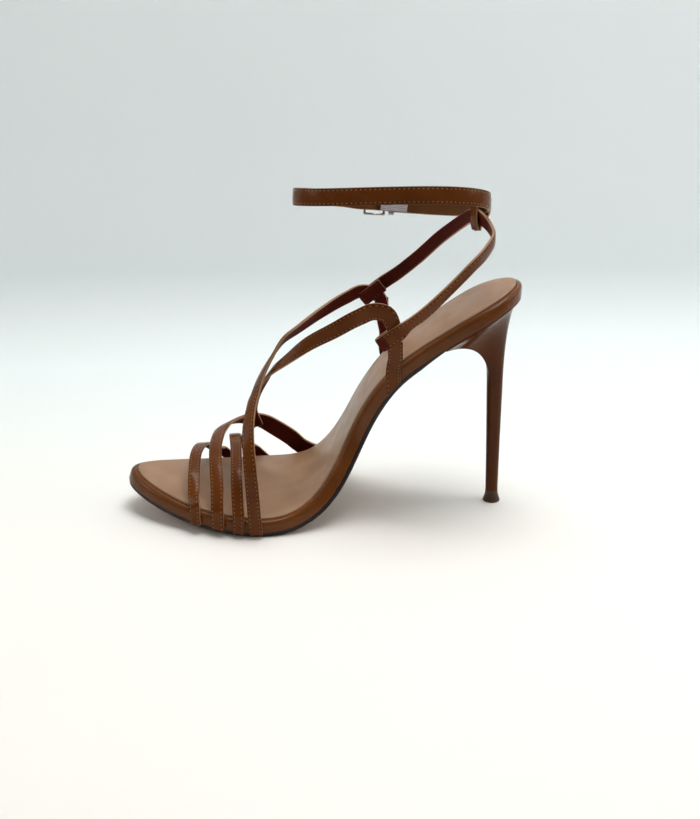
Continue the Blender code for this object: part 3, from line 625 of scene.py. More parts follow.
def cut_across(bm, x, drop_rear=False):
    """Cuts the flat slab straight across at x, and can drop what lies behind."""
    return bmesh.ops.bisect_plane(
        bm, geom=bm.verts[:] + bm.edges[:] + bm.faces[:], plane_co=(x, 0, 0), plane_no=(1, 0, 0),
        clear_inner=drop_rear,
    )["geom_cut"]


def plate(low, high, inset, rounding, segments=4, start=0.0, stations=64, count=176):
    """The sole's outline as a flat slab: two heights, inset from the edge, (lower, upper) rounding."""
    bm = bmesh.new()
    bmesh.ops.create_circle(bm, segments=count, radius=1, cap_ends=True)
    bm.faces.ensure_lookup_table()
    for vert in bm.verts:
        turn = math.atan2(vert.co.y, vert.co.x) % (2 * math.pi)
        share = (1 - math.cos(turn)) / 2
        side = 1 if turn <= math.pi else -1
        half = last.half_at(share)
        vert.co = (share * INSOLE_LENGTH, np.interp(share, last.share, last.centre) + side * half, low)
    ring = sorted(bm.faces[0].verts, key=lambda v: v.index)
    places = [v.co.copy() for v in ring]
    for k, vert in enumerate(ring):
        run = (places[(k + 1) % count] - places[k - 1]).normalized()
        vert.co += Vector((run.y, -run.x, 0)) * inset
    if bm.faces[0].normal.z > 0:
        bmesh.ops.reverse_faces(bm, faces=bm.faces)
    top = bmesh.ops.extrude_face_region(bm, geom=bm.faces[:])["geom"]
    bmesh.ops.translate(bm, vec=(0, 0, high - low), verts=only(bmesh.types.BMVert, top))
    for level, amount in zip((low, high), rounding):
        edges = [e for e in bm.edges if all(abs(v.co.z - level) < GAP / 10 for v in e.verts)]
        bmesh.ops.bevel(
            bm, geom=edges, offset=amount, segments=segments, profile=0.5, affect="EDGES", material=-1
        )
    if start:
        cut = cut_across(bm, start, drop_rear=True)
        bmesh.ops.contextual_create(bm, geom=only(bmesh.types.BMEdge, cut))
    for k in range(1, stations):
        cut_across(bm, INSOLE_LENGTH * k / stations)
    bmesh.ops.recalc_face_normals(bm, faces=bm.faces)
    return bm


print("the insole is", in_mm([2 * max(last.half)])[0], "mm wide at the ball")

# %% [markdown]
# ## The wrapped board
# The insole board is stiff fibre, wrapped in the patent leather of the straps. Only its rim shows, well
# rounded at the top where the leather turns over it. One bevelled slab stands for board and wrap, in a
# copy of the strap's lacquer made a little lighter: painted light, for the light from above on the rim.

# %% The wrapped board: the rim that shows all round
wrap = plate(-BOARD, 0, 0, (0.5 * MM, 2.2 * MM), segments=6)
bend_over_last(wrap)
to_piece(wrap, "rim_wrap", [patent_rim_painted_light], ["insole_board"], sharp=60)

# %% [markdown]
# ## The sock
# The sock is the pale leather that the foot stands on. It is smaller than the board all round, a little
# padded and turned down at its edge. It starts as a thin slab, and its upper points rise the more, the
# nearer they are to the centre line.

# %% The sock: bare leather, its edge rolled down, a little fuller in the middle
SOCK_INSET = 2.9 * MM
SOCK_SWELL = 0.5 * MM
padding = plate(-GAP, GAP + SOCK * 0.6, SOCK_INSET, (0.2 * MM, 0.6 * MM), segments=4)
for vert in padding.verts:
    if vert.co.z > GAP:
        share = vert.co.x / INSOLE_LENGTH
        half = max(np.interp(share, last.share, last.half), 1 * MM)
        off = (vert.co.y - np.interp(share, last.share, last.centre)) / half
        vert.co.z += SOCK_SWELL * max(0, 1 - off**2) ** 2
bend_over_last(padding)
to_piece(padding, "sock", [sock_leather], ["insole_sock"], sharp=60)

# %% [markdown]
# ## The outsole
# The outsole is thin leather, lacquered light brown below, with a dark painted edge. It starts at the
# heel's breast, where it is shaved to a third of its thickness. Faces that don't look up or down get the
# paint, and what would sink below the floor is worn flat.

# %% The outsole: lacquered below, painted dark along its edge
low = -BOARD - GAP - OUTSOLE
SHAVED_TO = 0.3
SHAVED_OVER = 16 * MM
tread = plate(
    low, low + OUTSOLE + GAP * 0.9, 0.7 * MM, (1.0 * MM, 0.2 * MM), segments=3, start=SEAT_LENGTH + GAP
)
for vert in tread.verts:
    thinner = min(1, SHAVED_TO + (1 - SHAVED_TO) * (vert.co.x - SEAT_LENGTH) / SHAVED_OVER)
    vert.co.z = low + OUTSOLE - (low + OUTSOLE - vert.co.z) * (thinner if vert.co.z < low + OUTSOLE else 1)
for face in tread.faces:
    face.material_index = 1 if abs(face.normal.z) < 0.85 else 0
bend_over_last(tread)
for vert in tread.verts:
    vert.co.z = max(vert.co.z, 0)
to_piece(tread, "outsole_tread", [outsole_lacquer, edge_paint], ["outsole"], sharp=50)

# %% [markdown]
# ## Heel
# The heel is a block wrapped in the same patent leather, in a darker copy of its lacquer: painted shade.
# Its seat follows the board, its breast is hollow under the arch, and its walls run down in one curve to a
# thin round stem. A ring is pulled to the seat's shape and extruded downwards ring by ring; each new ring
# remembers its place on the seat.

# %% The seat's ring


def seat_ring(count=120):
    """The heel's top edge in plan: round the back of the outline, and hollow across the breast."""
    ring = []
    corner = float(np.interp(SEAT_LENGTH / INSOLE_LENGTH, last.share, last.half)) - SEAT_INSET
    for k in range(count):
        turn = 2 * math.pi * k / count
        reach = Vector((math.cos(turn), math.sin(turn)))
        low_r, high_r = 0.0, 60 * MM
        for _ in range(30):
            radius = (low_r + high_r) / 2
            along, across = STEM_BACK - radius * reach.x, radius * reach.y
            share = min(max(along / INSOLE_LENGTH, 0), 1)
            half = last.half_at(share) - SEAT_INSET * 0.6
            hollow = 4 * MM * (1 - min(1, abs(across) / corner) ** 2)
            inside = 0 <= along - SEAT_INSET * 0.8 and abs(across) < half and along < SEAT_LENGTH - hollow
            low_r, high_r = (radius, high_r) if inside else (low_r, radius)
        ring.append((STEM_BACK - radius * reach.x, radius * reach.y))
    return ring


seat = seat_ring()
print("the heel's seat is", in_mm([max(p[0] for p in seat), 2 * max(p[1] for p in seat)]), "mm long and wide")

# %% [markdown]
# ## The heel's walls
# From the seat the walls narrow fast, then ever more slowly, as a quarter of an oval does, and the breast
# is hollowed sooner than the back. The stem below is round and tapers a little. The rings lie closest
# together just below the seat, where the wall turns most.

# %% The heel's walls, ring by ring
WALL_RINGS = 26
STEM_RINGS = 14
heel_bm = bmesh.new()
bmesh.ops.create_circle(heel_bm, segments=len(seat), radius=1)
remembered = heel_bm.verts.layers.float_vector.new("seat place")
heel_bm.verts.ensure_lookup_table()
for vert in heel_bm.verts:
    k = round((math.atan2(vert.co.y, vert.co.x) % (2 * math.pi)) / (2 * math.pi) * len(seat)) % len(seat)
    vert.co = last.at(seat[k][0] / INSOLE_LENGTH, seat[k][1], -BOARD - GAP * 0.3)
    vert[remembered] = vert.co
ring_edges = heel_bm.edges[:]
levels = [("flange", 0)]
levels += [("wall", min(1, 1 - math.cos(math.pi / 2 * k / WALL_RINGS))) for k in range(1, WALL_RINGS + 1)]
levels += [("stem", k / STEM_RINGS) for k in range(1, STEM_RINGS + 1)]
for kind, t in levels:
    grown = bmesh.ops.extrude_edge_only(heel_bm, edges=ring_edges)["geom"]
    ring_edges = only(bmesh.types.BMEdge, grown)
    for vert in {v for edge in ring_edges for v in edge.verts}:
        top = Vector(vert[remembered])
        turn = math.atan2(top.y, top.x + STEM_BACK)
        away = Vector((math.cos(turn), math.sin(turn), 0))
        if kind == "flange":
            spot = top - Vector((0, 0, HEEL_FLANGE))
            vert[remembered] = spot
        elif kind == "wall":
            power = 2 + 0.9 * max(0, -math.cos(turn)) ** 2
            inward = (1 - (1 - t) ** power) ** (1 / power)
            z = top.z + (STEM_TOP - top.z) * t
            foot = Vector((-STEM_BACK, 0, z)) + away * STEM_TOP_R
            spot = Vector((top.x, top.y, z)).lerp(foot, inward)
        else:
            z = STEM_TOP + (TIP_HEIGHT + GAP * 0.3 - STEM_TOP) * t
            radius = STEM_FOOT_R + (STEM_TOP_R - STEM_FOOT_R) * (1 - t) ** 1.3
            spot = Vector((-STEM_BACK, 0, z)) + away * radius
        vert.co = spot
bmesh.ops.holes_fill(heel_bm, edges=heel_bm.edges, sides=0)
bmesh.ops.recalc_face_normals(heel_bm, faces=heel_bm.faces)
to_piece(heel_bm, "heel_wrapped", [heel_lacquer], ["heel"], sharp=50)

# %% [markdown]
# ## The tip
# The top piece is hard rubber, nailed under the stem. It is a turned form, so its profile is drawn once and
# spun round the stem's axis: it flares to the floor, where it ends in a thin upright lip.

# %% The tip: a turned profile, with a thin lip at the floor
tip = bmesh.new()
FLARE_STEPS = 9
profile = [
    (0, TIP_HEIGHT),
    (STEM_FOOT_R - 0.15 * MM, TIP_HEIGHT),
    (STEM_FOOT_R + 0.02 * MM, TIP_HEIGHT - 0.2 * MM),
]
for k in range(1, FLARE_STEPS + 1):
    t = k / FLARE_STEPS
    profile.append((STEM_FOOT_R + (TIP_R - STEM_FOOT_R) * t**2, TIP_HEIGHT * (0.96 - t * 0.84)))
profile += [(TIP_R, 0.25 * MM), (TIP_R - 0.2 * MM, 0), (0, 0)]
corners = [tip.verts.new((radius - STEM_BACK, 0, z)) for radius, z in profile]
sides = [tip.edges.new(pair) for pair in zip(corners[:-1], corners[1:])]
bmesh.ops.spin(
    tip, geom=corners + sides, cent=(-STEM_BACK, 0, 0), axis=(0, 0, 1), angle=2 * math.pi, steps=48,
    use_merge=True,
)
bmesh.ops.remove_doubles(tip, verts=tip.verts, dist=0.005 * MM)
bmesh.ops.recalc_face_normals(tip, faces=tip.faces)
to_piece(tip, "tip_turned", [tip_rubber], ["heel_tip"], sharp=40)

# %% [markdown]
# ## Straps
# A strap is patent leather folded over a lining, so its long edges are round and its face is slightly
# crowned. Each one is a flat grid laid along its route, given its thickness with Solidify, which also puts
# the lining's finish on the inner face, and rounded with Bevel. The grid keeps a map of the flat cut:
# metres along the strap, and metres in from the nearest edge, so the seam's needle holes follow every bend.

# %% Reading a route


def foot_normal(point, tangent):
    """Outward from the foot's axis, square to the strap's run."""
    axis = [Vector((-a * last.flat_length, 0, h * INSTEP_RISE)) for a, h in FOOT_AXIS]
    nearest = None
    for a, b in zip(axis[:-1], axis[1:]):
        t = max(0, min(1, (point - a).dot(b - a) / (b - a).length_squared))
        spot = a.lerp(b, t)
        if nearest is None or (point - spot).length < (point - nearest).length:
            nearest = spot
    out = point - nearest
    return (out - out.project(tangent)).normalized()


def run_along(points, values, count):
    """Read smooth curves through the points, and through the values at them, at even steps."""
    points = np.array([tuple(p) for p in points])
    values = np.array([tuple(v) if hasattr(v, "__len__") else (v,) for v in values])
    gone = np.concatenate(([0], np.cumsum(np.linalg.norm(np.diff(points, axis=0), axis=1))))
    at = np.linspace(0, gone[-1], count)
    curve = np.stack([smooth(gone, points[:, k], at) for k in range(3)], 1)
    read = np.stack([smooth(gone, values[:, k], at) for k in range(values.shape[1])], 1)
    return curve, read


class Strip:
    """A route read finely: at(share) gives the middle, run, outward normal, side, width and slant."""

    STEP = 0.6 * MM

    def __init__(self, stops, width):
        points = [s[0] for s in stops]
        values = [(*s[1], s[2], s[3]) for s in stops]
        rough = sum((b - a).length for a, b in zip(points[:-1], points[1:]))
        self.curve, self.read = run_along(points, values, max(12, round(rough / self.STEP)))
        steps = np.linalg.norm(np.diff(self.curve, axis=0), axis=1)
        self.gone = np.concatenate(([0], np.cumsum(steps)))
        self.length = self.gone[-1]
        self.runs = np.gradient(self.curve, axis=0)
        self.width = width

    def at(self, share):
        gone = share * self.length
        spot = Vector([np.interp(gone, self.gone, self.curve[:, k]) for k in range(3)])
        run = Vector([np.interp(gone, self.gone, self.runs[:, k]) for k in range(3)]).normalized()
        read = [np.interp(gone, self.gone, self.read[:, k]) for k in range(5)]
        out = Vector(read[:3])
        out = (out - out.project(run)).normalized()
        return spot, run, out, run.cross(out), self.width * read[3], read[4]


facing = foot_normal(last.over(0.56, 0, 1.2), Vector((1, 0, 0)))
print("over the instep a strap faces", [round(v, 2) for v in facing])

# %% [markdown]
# ## Stops over the foot
# A strap's route is a few rows over the foot: how far along, how far across and how high. At the rim it
# goes down between board and outsole, so each such end is given by where it leaves the outsole, passes the
# rim's top edge and comes free just above it. Between the stops the outward direction turns with the foot.

# %% Stops over the foot and against the rim
RIM_ENDS = {
    # end of a strap: share of the plan length at the outsole, at the rim's top edge, just above it, then side
    "sling_inner": (0.340, 0.318, 0.307, -1),
    "sling_outer": (0.350, 0.333, 0.324, 1),
    "outer_vamp": (0.660, 0.663, 0.664, -1),
    "side_band_outer": (0.532, 0.556, 0.566, 1),
    "side_band_inner": (0.752, 0.755, 0.756, -1),
    "second_outer": (0.655, 0.685, 0.698, 1),
    "second_inner": (0.702, 0.703, 0.703, -1),
    "first_outer": (0.740, 0.770, 0.783, 1),
    "first_inner": (0.808, 0.813, 0.815, -1),
}
TUCKED = ((BOARD - GAP / 2, 1.0), (BOARD / 2, 0.8), (0, 0.5), (-RIM_CLEAR, 0.25))


def tuck(key, width):
    """Stops of a strap's end, from the outsole's edge up the rim and a little over it."""
    low, high, clear, side = RIM_ENDS[key]
    stops = []
    for drop, slant in TUCKED:
        along = float(np.interp(drop, (-RIM_CLEAR, 0, BOARD), (clear, high, low)))
        point, normal, run = last.rim(along, side, drop)
        stops.append([point, normal, width, (run, slant)])
    return stops


def over_foot(rows, start=None, end=None, facing=None, sideways=0.0):
    """Stops of a strap over the foot: its rows, with the ends laid against the rim where it has them.

    facing fixes the outward normal; sideways turns it more to the foot's side, the further across the more.
    """
    route = [[last.over(*row[:3]), facing, row[3], None] for row in rows]
    if start:
        route = tuck(start, rows[0][3]) + route
    if end:
        route = route + tuck(end, rows[-1][3])[::-1]
    points = [r[0].copy() for r in route]
    for i, stop in enumerate(route):
        run = (points[min(i + 1, len(points) - 1)] - points[max(i - 1, 0)]).normalized()
        turned = Vector((0, sideways * points[i].y / HALF_BALL, 0))
        stop[1] = stop[1] or (foot_normal(points[i], run) + turned).normalized()
        side = run.cross(stop[1]).normalized()
        stop[3] = stop[3][1] * stop[3][0].dot(run) / stop[3][0].dot(side) if stop[3] else 0.0
    first = len(TUCKED) if start else 0
    for stop, row in zip(route[first:], rows):
        lift = row[4] if len(row) > 4 else 0.0
        stop[0] = stop[0] + stop[1] * lift * STRAP
    return route


print("ends laid against the rim:", len(RIM_ENDS))

# %% [markdown]
# ## Cutting and laying a strap
# The grid is made one unit long and one wide, and given its map while it is flat. Then each of its points
# is looked up on the route. Solidify and Bevel could stay live, but they are applied, so that the printed
# triangles are the real ones. Where an end is folded back, its lining is on the outside.

# %% Cutting and laying a strap


def on_strip(reading, y, crown, lift=0.0):
    """A point on a strap: y across it from -0.5 to 0.5, crowned, and lifted outward."""
    spot, run, out, side, width, skew = reading
    return spot + (side + run * skew) * (y * width) + out * (crown * (1 - (2 * y) ** 2) - crown / 2 + lift)


def lay_strip(
    name, strip, stands_for=(), finishes=(patent_strap, lining, cut_edge),
    thick=STRAP, crown=STRAP_CROWN, edge=0.5 * MM, bare=(0, 0),
):
    """The mapped grid, laid along the strip, made solid and rounded; bare end lengths show the lining."""
    bm = bmesh.new()
    pieces = max(8, round(strip.length / CUT_STEP))
    bmesh.ops.create_grid(bm, x_segments=pieces, y_segments=CUT_ROWS, size=0.5)
    bmesh.ops.translate(bm, vec=(0.5, 0, 0), verts=bm.verts)
    flat = bm.loops.layers.uv.new("cut")
    places = {round(v.co.x, 6): strip.at(v.co.x) for v in bm.verts}
    for face in bm.faces:
        gone = face.calc_center_median().x * strip.length
        face.material_index = int(gone < bare[0] or gone > strip.length - bare[1])
        for loop in face.loops:
            x, y = loop.vert.co.xy
            loop[flat].uv = (x * strip.length, (0.5 - abs(y)) * places[round(x, 6)][4])
    for vert in bm.verts:
        vert.co = on_strip(places[round(vert.co.x, 6)], vert.co.y, crown)
    bm.normal_update()
    middle = bm.faces[:][len(bm.faces) // 2]
    near = min(places.values(), key=lambda p: (p[0] - middle.calc_center_median()).length)
    if middle.normal.dot(near[2]) < 0:
        bmesh.ops.reverse_faces(bm, faces=bm.faces)
    steps = [
        ("SOLIDIFY", {
            "thickness": thick, "offset": 0, "use_even_offset": False, "material_offset": 1,
            "material_offset_rim": 2,
        }),
        ("BEVEL", {
            "width": edge, "segments": 3, "limit_method": "ANGLE", "angle_limit": math.radians(45),
            "affect": "EDGES", "profile": 0.5, "material": -1, "use_clamp_overlap": True,
        }),
    ]
    return to_piece(bm, name, finishes, stands_for, steps, sharp=80)


print("a strap is cut every", in_mm([CUT_STEP])[0], "mm and has", CUT_ROWS, "rows of faces")

# %% [markdown]
# ## Stitches
# A stitch is a short length of thread, sunk a little into the leather, on the face and again on the lining.
# One small rounded shape with few faces is copied along both seams, and all stitches of a strap are one
# piece.

# %% Sewing


def one_stitch():
    """A short rounded length of thread, one unit in radius."""
    bm = bmesh.new()
    bmesh.ops.create_uvsphere(bm, u_segments=6, v_segments=4, radius=1)
    return as_mesh(bm, "one_stitch")


STITCH = one_stitch()
STITCH_SIZE = Matrix.Diagonal((0.36 * STITCH_PITCH, THREAD_R, THREAD_R, 1))


def sew(name, strip, bare=(0, 0)):
    """Stitches along both edges, on the face and on the lining."""
    bm = bmesh.new()
    for k in range(math.floor(strip.length / STITCH_PITCH)):
        gone = (k + 1.0) * STITCH_PITCH
        lined = gone < bare[0] or gone > strip.length - bare[1]
        reading = strip.at(gone / strip.length)
        _, run, out, side, width, _ = reading
        turn = Matrix((run, side, out)).transposed().to_4x4()
        for row in (-1, 1):
            y = row * (0.5 - SEAM_INSET / width)
            for face in (1, -1):
                centre = on_strip(reading, y, STRAP_CROWN, face * (STRAP / 2 - THREAD_SUNK))
                laid = STITCH.copy()
                laid.transform(Matrix.Translation(centre) @ turn @ STITCH_SIZE)
                laid.polygons.foreach_set("material_index", [int(lined or face < 0)] * len(laid.polygons))
                bm.from_mesh(laid)
                bpy.data.meshes.remove(laid)
    return to_piece(bm, name, [thread, lining_thread], sharp=80)


print("one stitch has", len(STITCH.polygons), "faces")


# %% [markdown]
# ## The routes of the sling and the stays
# The sling runs round the back of the heel. It is lowest at its inner end and highest beside the keeper. A
# short stay ties each of its ends down to the rim. The rows are shares of the last's length, of half the
# ball's width and of the instep's rise, so the straps follow a changed last.

# %% Rows of the sling and the stays
SLING = (
    # along, across, rise, width
    (0.290, -0.700, 0.322, 1.00),
    (0.250, -0.700, 0.318, 1.00),
    (0.190, -0.675, 0.361, 1.00),
    (0.136, -0.600, 0.413, 1.00),
    (0.097, -0.425, 0.439, 1.00),
    (0.077, -0.225, 0.490, 1.00),
    (0.085, -0.100, 0.560, 1.00),
    (0.100, 0.020, 0.630, 1.00),
    (0.112, 0.160, 0.660, 1.00),
    (0.123, 0.270, 0.664, 1.00),
    (0.140, 0.400, 0.644, 1.00),
    (0.160, 0.490, 0.624, 1.00),
    (0.191, 0.595, 0.596, 1.00),
    (0.248, 0.710, 0.538, 1.00),
    (0.303, 0.740, 0.537, 1.00),
)
INNER_STAY = (
    (0.314, -0.572, 0.115, 1.05),
    (0.314, -0.625, 0.200, 1.05),
    (0.314, -0.665, 0.275, 1.05),
)
OUTER_STAY = (
    (0.342, 0.705, 0.480, 1.05),
    (0.342, 0.705, 0.400, 1.05),
    (0.337, 0.700, 0.262, 1.05),
    (0.331, 0.680, 0.120, 1.05),
)
print("rows of the sling:", len(SLING), "- of the stays:", len(INNER_STAY), "and", len(OUTER_STAY))

# %% [markdown]
# ## The sling strap's folds
# At each side the sling is folded back on itself, and the vamp strap and the short stay to the rim are
# caught inside that fold. The fold could be a piece of its own, but then the leather would have an end at
# its tip. So it is part of the same route: along the inner layer, round a half circle, and back over the
# outer layer.

# %% A fold at a strap's end
FOLD_HALF = 1.75 * MM
FOLD_WIDTH = 1.05


def fold(tip, back, outward, reach):
    """Stops from the inner layer's cut end, round the fold's tip, to the outer layer."""
    tip, back, outward = Vector(tip) * MM, Vector(back).normalized(), Vector(outward)
    stops = []
    for share in (1.0, 0.55, 0.2):
        stops.append([tip + back * (FOLD_HALF + reach * share) - outward * FOLD_HALF, -outward])
    for turn in (-60, -30, 0, 30, 60):
        a = math.radians(turn)
        normal = outward * math.sin(a) - back * math.cos(a)
        stops.append([tip + back * FOLD_HALF + normal * FOLD_HALF, normal])
    for share in (0.2, 0.55, 1.0):
        stops.append([tip + back * (FOLD_HALF + reach * share) + outward * FOLD_HALF, outward])
    return [[*stop, FOLD_WIDTH, 0.0] for stop in stops]


# the fold's tip in mm, the way back along the strap, outward, and the length folded back
inner_fold = fold((-67.6, -27.0, 91.9), (0.82, 0.0, 0.57), (0, -1, 0), 9 * MM)
outer_fold = fold((-75.6, 28.4, 98.6), (0.796, 0.0, 0.605), (0, 1, 0), 11 * MM)
around = over_foot(SLING)
sling_strip = Strip(inner_fold + around + outer_fold[::-1], STRAP_WIDTH)
print("the sling strap is", round(sling_strip.length * 1000), "mm long")

# %% [markdown]
# ## The sling strap
# Round the back the sling shows its patent face, and its folded ends show the bare lining, because the
# strap comes round the fold with its inner side out. So the last centimetres at both ends are cut bare.

# %% The sling strap
FOLDED = (16.5 * MM, 20 * MM)
lay_strip("sling_strap", sling_strip, ["upper"], bare=FOLDED)
sew("sling_stitches", sling_strip, bare=FOLDED)

# %% [markdown]
# ## The stays
# The stays are short straight straps from the folds down to the rim. They stand nearly upright at the
# shoe's sides, so they face straight outward and don't turn with the foot as the longer straps do.

# %% The two stays
inner_stay = Strip(over_foot(INNER_STAY, start="sling_inner", facing=Vector((0, -1, 0))), STRAP_WIDTH)
outer_stay = Strip(over_foot(OUTER_STAY, end="sling_outer", facing=Vector((0, 1, 0))), STRAP_WIDTH)
for name, strip in (("inner_stay", inner_stay), ("outer_stay", outer_stay)):
    lay_strip(name, strip)
    sew(f"{name}_stitches", strip)

# %% [markdown]
# ## The routes over the forefoot
# The two long straps cross over the instep, the outer one on top. The side band is broader where it climbs
# from the rim, and narrows to the third toe strap. A fifth number in a row lifts the strap off its route,
# in strap thicknesses: that is how one strap passes over the other where they cross.

# %% Rows of the straps over the forefoot
INNER_VAMP = (
    # along, across, rise, width, lift
    (0.313, -0.675, 0.309, 0.95, 0.0),
    (0.319, -0.675, 0.417, 1.05, 0.0),
    (0.335, -0.675, 0.567, 1.20, 0.0),
    (0.363, -0.675, 0.707, 1.20, 0.0),
    (0.401, -0.650, 0.858, 1.15, 0.0),
    (0.460, -0.575, 1.118, 1.10, 0.0),
    (0.522, -0.400, 1.240, 1.05, -0.1),
    (0.588, -0.150, 1.152, 1.00, -0.3),
    (0.626, 0.000, 1.050, 0.95, -0.4),
    (0.651, 0.200, 0.906, 0.95, -0.3),
    (0.667, 0.350, 0.800, 0.90, -0.1),
    (0.688, 0.600, 0.630, 0.90, 0.0),
    (0.697, 0.850, 0.446, 0.90, -0.4),
    (0.692, 0.925, 0.378, 0.90, -0.9),
    (0.687, 0.960, 0.320, 0.90, -1.0),
)
OUTER_VAMP = (
    (0.340, 0.705, 0.400, 0.95, 0.0),
    (0.345, 0.705, 0.480, 1.00, 0.0),
    (0.360, 0.705, 0.588, 1.00, 0.0),
    (0.392, 0.700, 0.775, 1.00, 0.0),
    (0.434, 0.625, 0.998, 1.00, 0.0),
    (0.496, 0.475, 1.240, 1.00, 0.0),
    (0.559, 0.300, 1.283, 1.00, 0.1),
    (0.591, 0.200, 1.254, 1.00, 0.2),
    (0.623, 0.075, 1.133, 1.00, 0.3),
    (0.645, -0.100, 1.035, 0.95, 0.2),
    (0.660, -0.350, 0.938, 0.95, 0.0),
    (0.670, -0.550, 0.838, 0.95, 0.0),
    (0.674, -0.750, 0.724, 0.95, 0.0),
    (0.672, -0.900, 0.596, 0.95, 0.0),
    (0.668, -0.988, 0.427, 0.95, 0.0),
    (0.665, -1.012, 0.194, 0.95, 0.0),
)
SIDE_BAND = (
    (0.599, 1.050, 0.165, 1.40),
    (0.640, 1.035, 0.273, 1.40),
    (0.671, 0.980, 0.348, 1.30),
    (0.705, 0.880, 0.394, 1.10),
    (0.733, 0.750, 0.411, 1.00),
    (0.757, 0.600, 0.409, 0.95),
    (0.772, 0.375, 0.403, 0.95),
    (0.776, 0.100, 0.396, 0.95),
    (0.774, -0.200, 0.372, 0.95),
    (0.766, -0.500, 0.300, 0.95),
    (0.759, -0.750, 0.200, 0.95),
)
SECOND_TOE_STRAP = (
    (0.718, 0.938, 0.110, 1.00),
    (0.733, 0.800, 0.195, 1.00),
    (0.741, 0.650, 0.284, 1.00),
    (0.739, 0.450, 0.345, 1.00),
    (0.732, 0.200, 0.380, 1.00),
    (0.723, -0.100, 0.385, 1.00),
    (0.715, -0.450, 0.345, 1.00),
    (0.710, -0.725, 0.255, 1.00),
    (0.706, -0.900, 0.135, 1.00),
)
FIRST_TOE_STRAP = (
    (0.798, 0.790, 0.095, 1.00),
    (0.814, 0.625, 0.175, 1.00),
    (0.824, 0.400, 0.240, 1.00),
    (0.829, 0.150, 0.268, 1.00),
    (0.829, -0.150, 0.265, 1.00),
    (0.825, -0.425, 0.215, 1.00),
    (0.821, -0.650, 0.130, 1.00),
)
print("rows of the vamp straps:", len(INNER_VAMP), "and", len(OUTER_VAMP))

# %% [markdown]
# ## The vamp straps, the side band and the toe straps
# All five are laid and sewn in the same way, so one loop makes them. The inner vamp strap turns more to the
# foot's side than the others, because it climbs steeply along the instep.

# %% Vamp straps, side band and toe straps
for name, strip, stands_for in (
    ("inner_vamp_strap", Strip(over_foot(INNER_VAMP, sideways=0.8), STRAP_WIDTH), ()),
    ("outer_vamp_strap", Strip(over_foot(OUTER_VAMP, end="outer_vamp"), STRAP_WIDTH), ()),
    ("side_band_strap", Strip(over_foot(SIDE_BAND, "side_band_outer", "side_band_inner"), STRAP_WIDTH), ()),
    ("toe_strap_two", Strip(over_foot(SECOND_TOE_STRAP, "second_outer", "second_inner"), TOE_STRAP_WIDTH),
     ("toe_strap_second",)),
    ("toe_strap_one", Strip(over_foot(FIRST_TOE_STRAP, "first_outer", "first_inner"), TOE_STRAP_WIDTH),
     ("toe_strap_first",)),
):
    lay_strip(name, strip, stands_for)
    sew(f"{name}_stitches", strip)

# %% [markdown]
# ## Ankle strap
# The ankle strap is one length of leather. It starts at the elastic, goes round the back and the front of
# the ankle, comes out through the buckle and ends in a free tail, which is cut at a slant.

# %% The ankle loop


def loop_point(turn, out=0.0):
    """A point of the ankle loop, its outward normal and the strap's upward side."""
    power = 2 / 2.2

    def read(a):
        c, s = math.cos(a), math.sin(a)
        x = -LOOP_BACK - LOOP_LENGTH / 2 * math.copysign(abs(c) ** power, c)
        y = -LOOP_WIDTH / 2 * math.copysign(abs(s) ** power, s)
        forward = -x - LOOP_BACK
        lean = LOOP_FRONT_TILT + LOOP_TWIST * y / (LOOP_WIDTH / 2)
        return Vector((x, y, HEEL_HEIGHT + LOOP_RISE + LOOP_SIDE_TILT * y + lean * forward))

    run = (read(turn + 0.01) - read(turn - 0.01)).normalized()
    up = Vector((LOOP_FRONT_TILT, -LOOP_SIDE_TILT, 1)).normalized()
    normal = up.cross(run).normalized()
    spot = read(turn)
    if (spot - Vector((-LOOP_BACK, 0, spot.z))).dot(normal) < 0:
        normal = -normal
    return spot + normal * out, normal, up


def buckle_axes():
    """At the buckle: its middle, forward along the strap, outward and up."""
    spot, normal, up = loop_point(BUCKLE_AT)
    forward = normal.cross(up).normalized()
    if forward.x > 0:
        forward = -forward
    return spot, forward, normal, up


def at_buckle(forward, out, up=0.0):
    spot, f, n, u = buckle_axes()
    return spot + f * forward + n * out + u * up


def loop_spot(distance, out):
    """A point on the loop, a length behind the buckle, along its curve."""
    turn, gone = BUCKLE_AT, 0.0
    before = loop_point(turn)[0]
    step = -0.01 if distance > 0 else 0.01
    while gone < abs(distance):
        turn += step
        after = loop_point(turn)[0]
        gone += (after - before).length
        before = after
    spot, normal, up = loop_point(turn, out)
    return spot, normal, up, turn


def loop_stop(distance, out, slant=0.0):
    """A stop of a strap that follows the loop, a length behind the buckle."""
    spot, normal, _, _ = loop_spot(distance, out)
    return [spot, normal, 1.0, slant]


print("the buckle's middle is at", in_mm(buckle_axes()[0]), "mm")

# %% [markdown]
# ## The ankle strap
# The strap follows the loop round the ankle. At the buckle it dips under the front bar, comes up through
# the window and lies over the rear bar, and the free tail runs on beside the loop, a little away from it.
# All of that is one route, because it is one length of leather. The end is cut at a slant.

# %% The ankle strap's route, buckle and tail
BUCKLE_DIP = -0.55 * MM
LOOP_STOPS = 58
TAIL_SLANT = 0.62
TAIL_STANDS_OFF = (
    # behind the buckle's rear bar, further out than beside the loop, both in mm
    (4, 1.35),
    (9, 0.85),
    (14, 0.45),
    (20, 0.2),
    (28, 0.15),
    (36, 0.6),
    (41, 1.1),
)


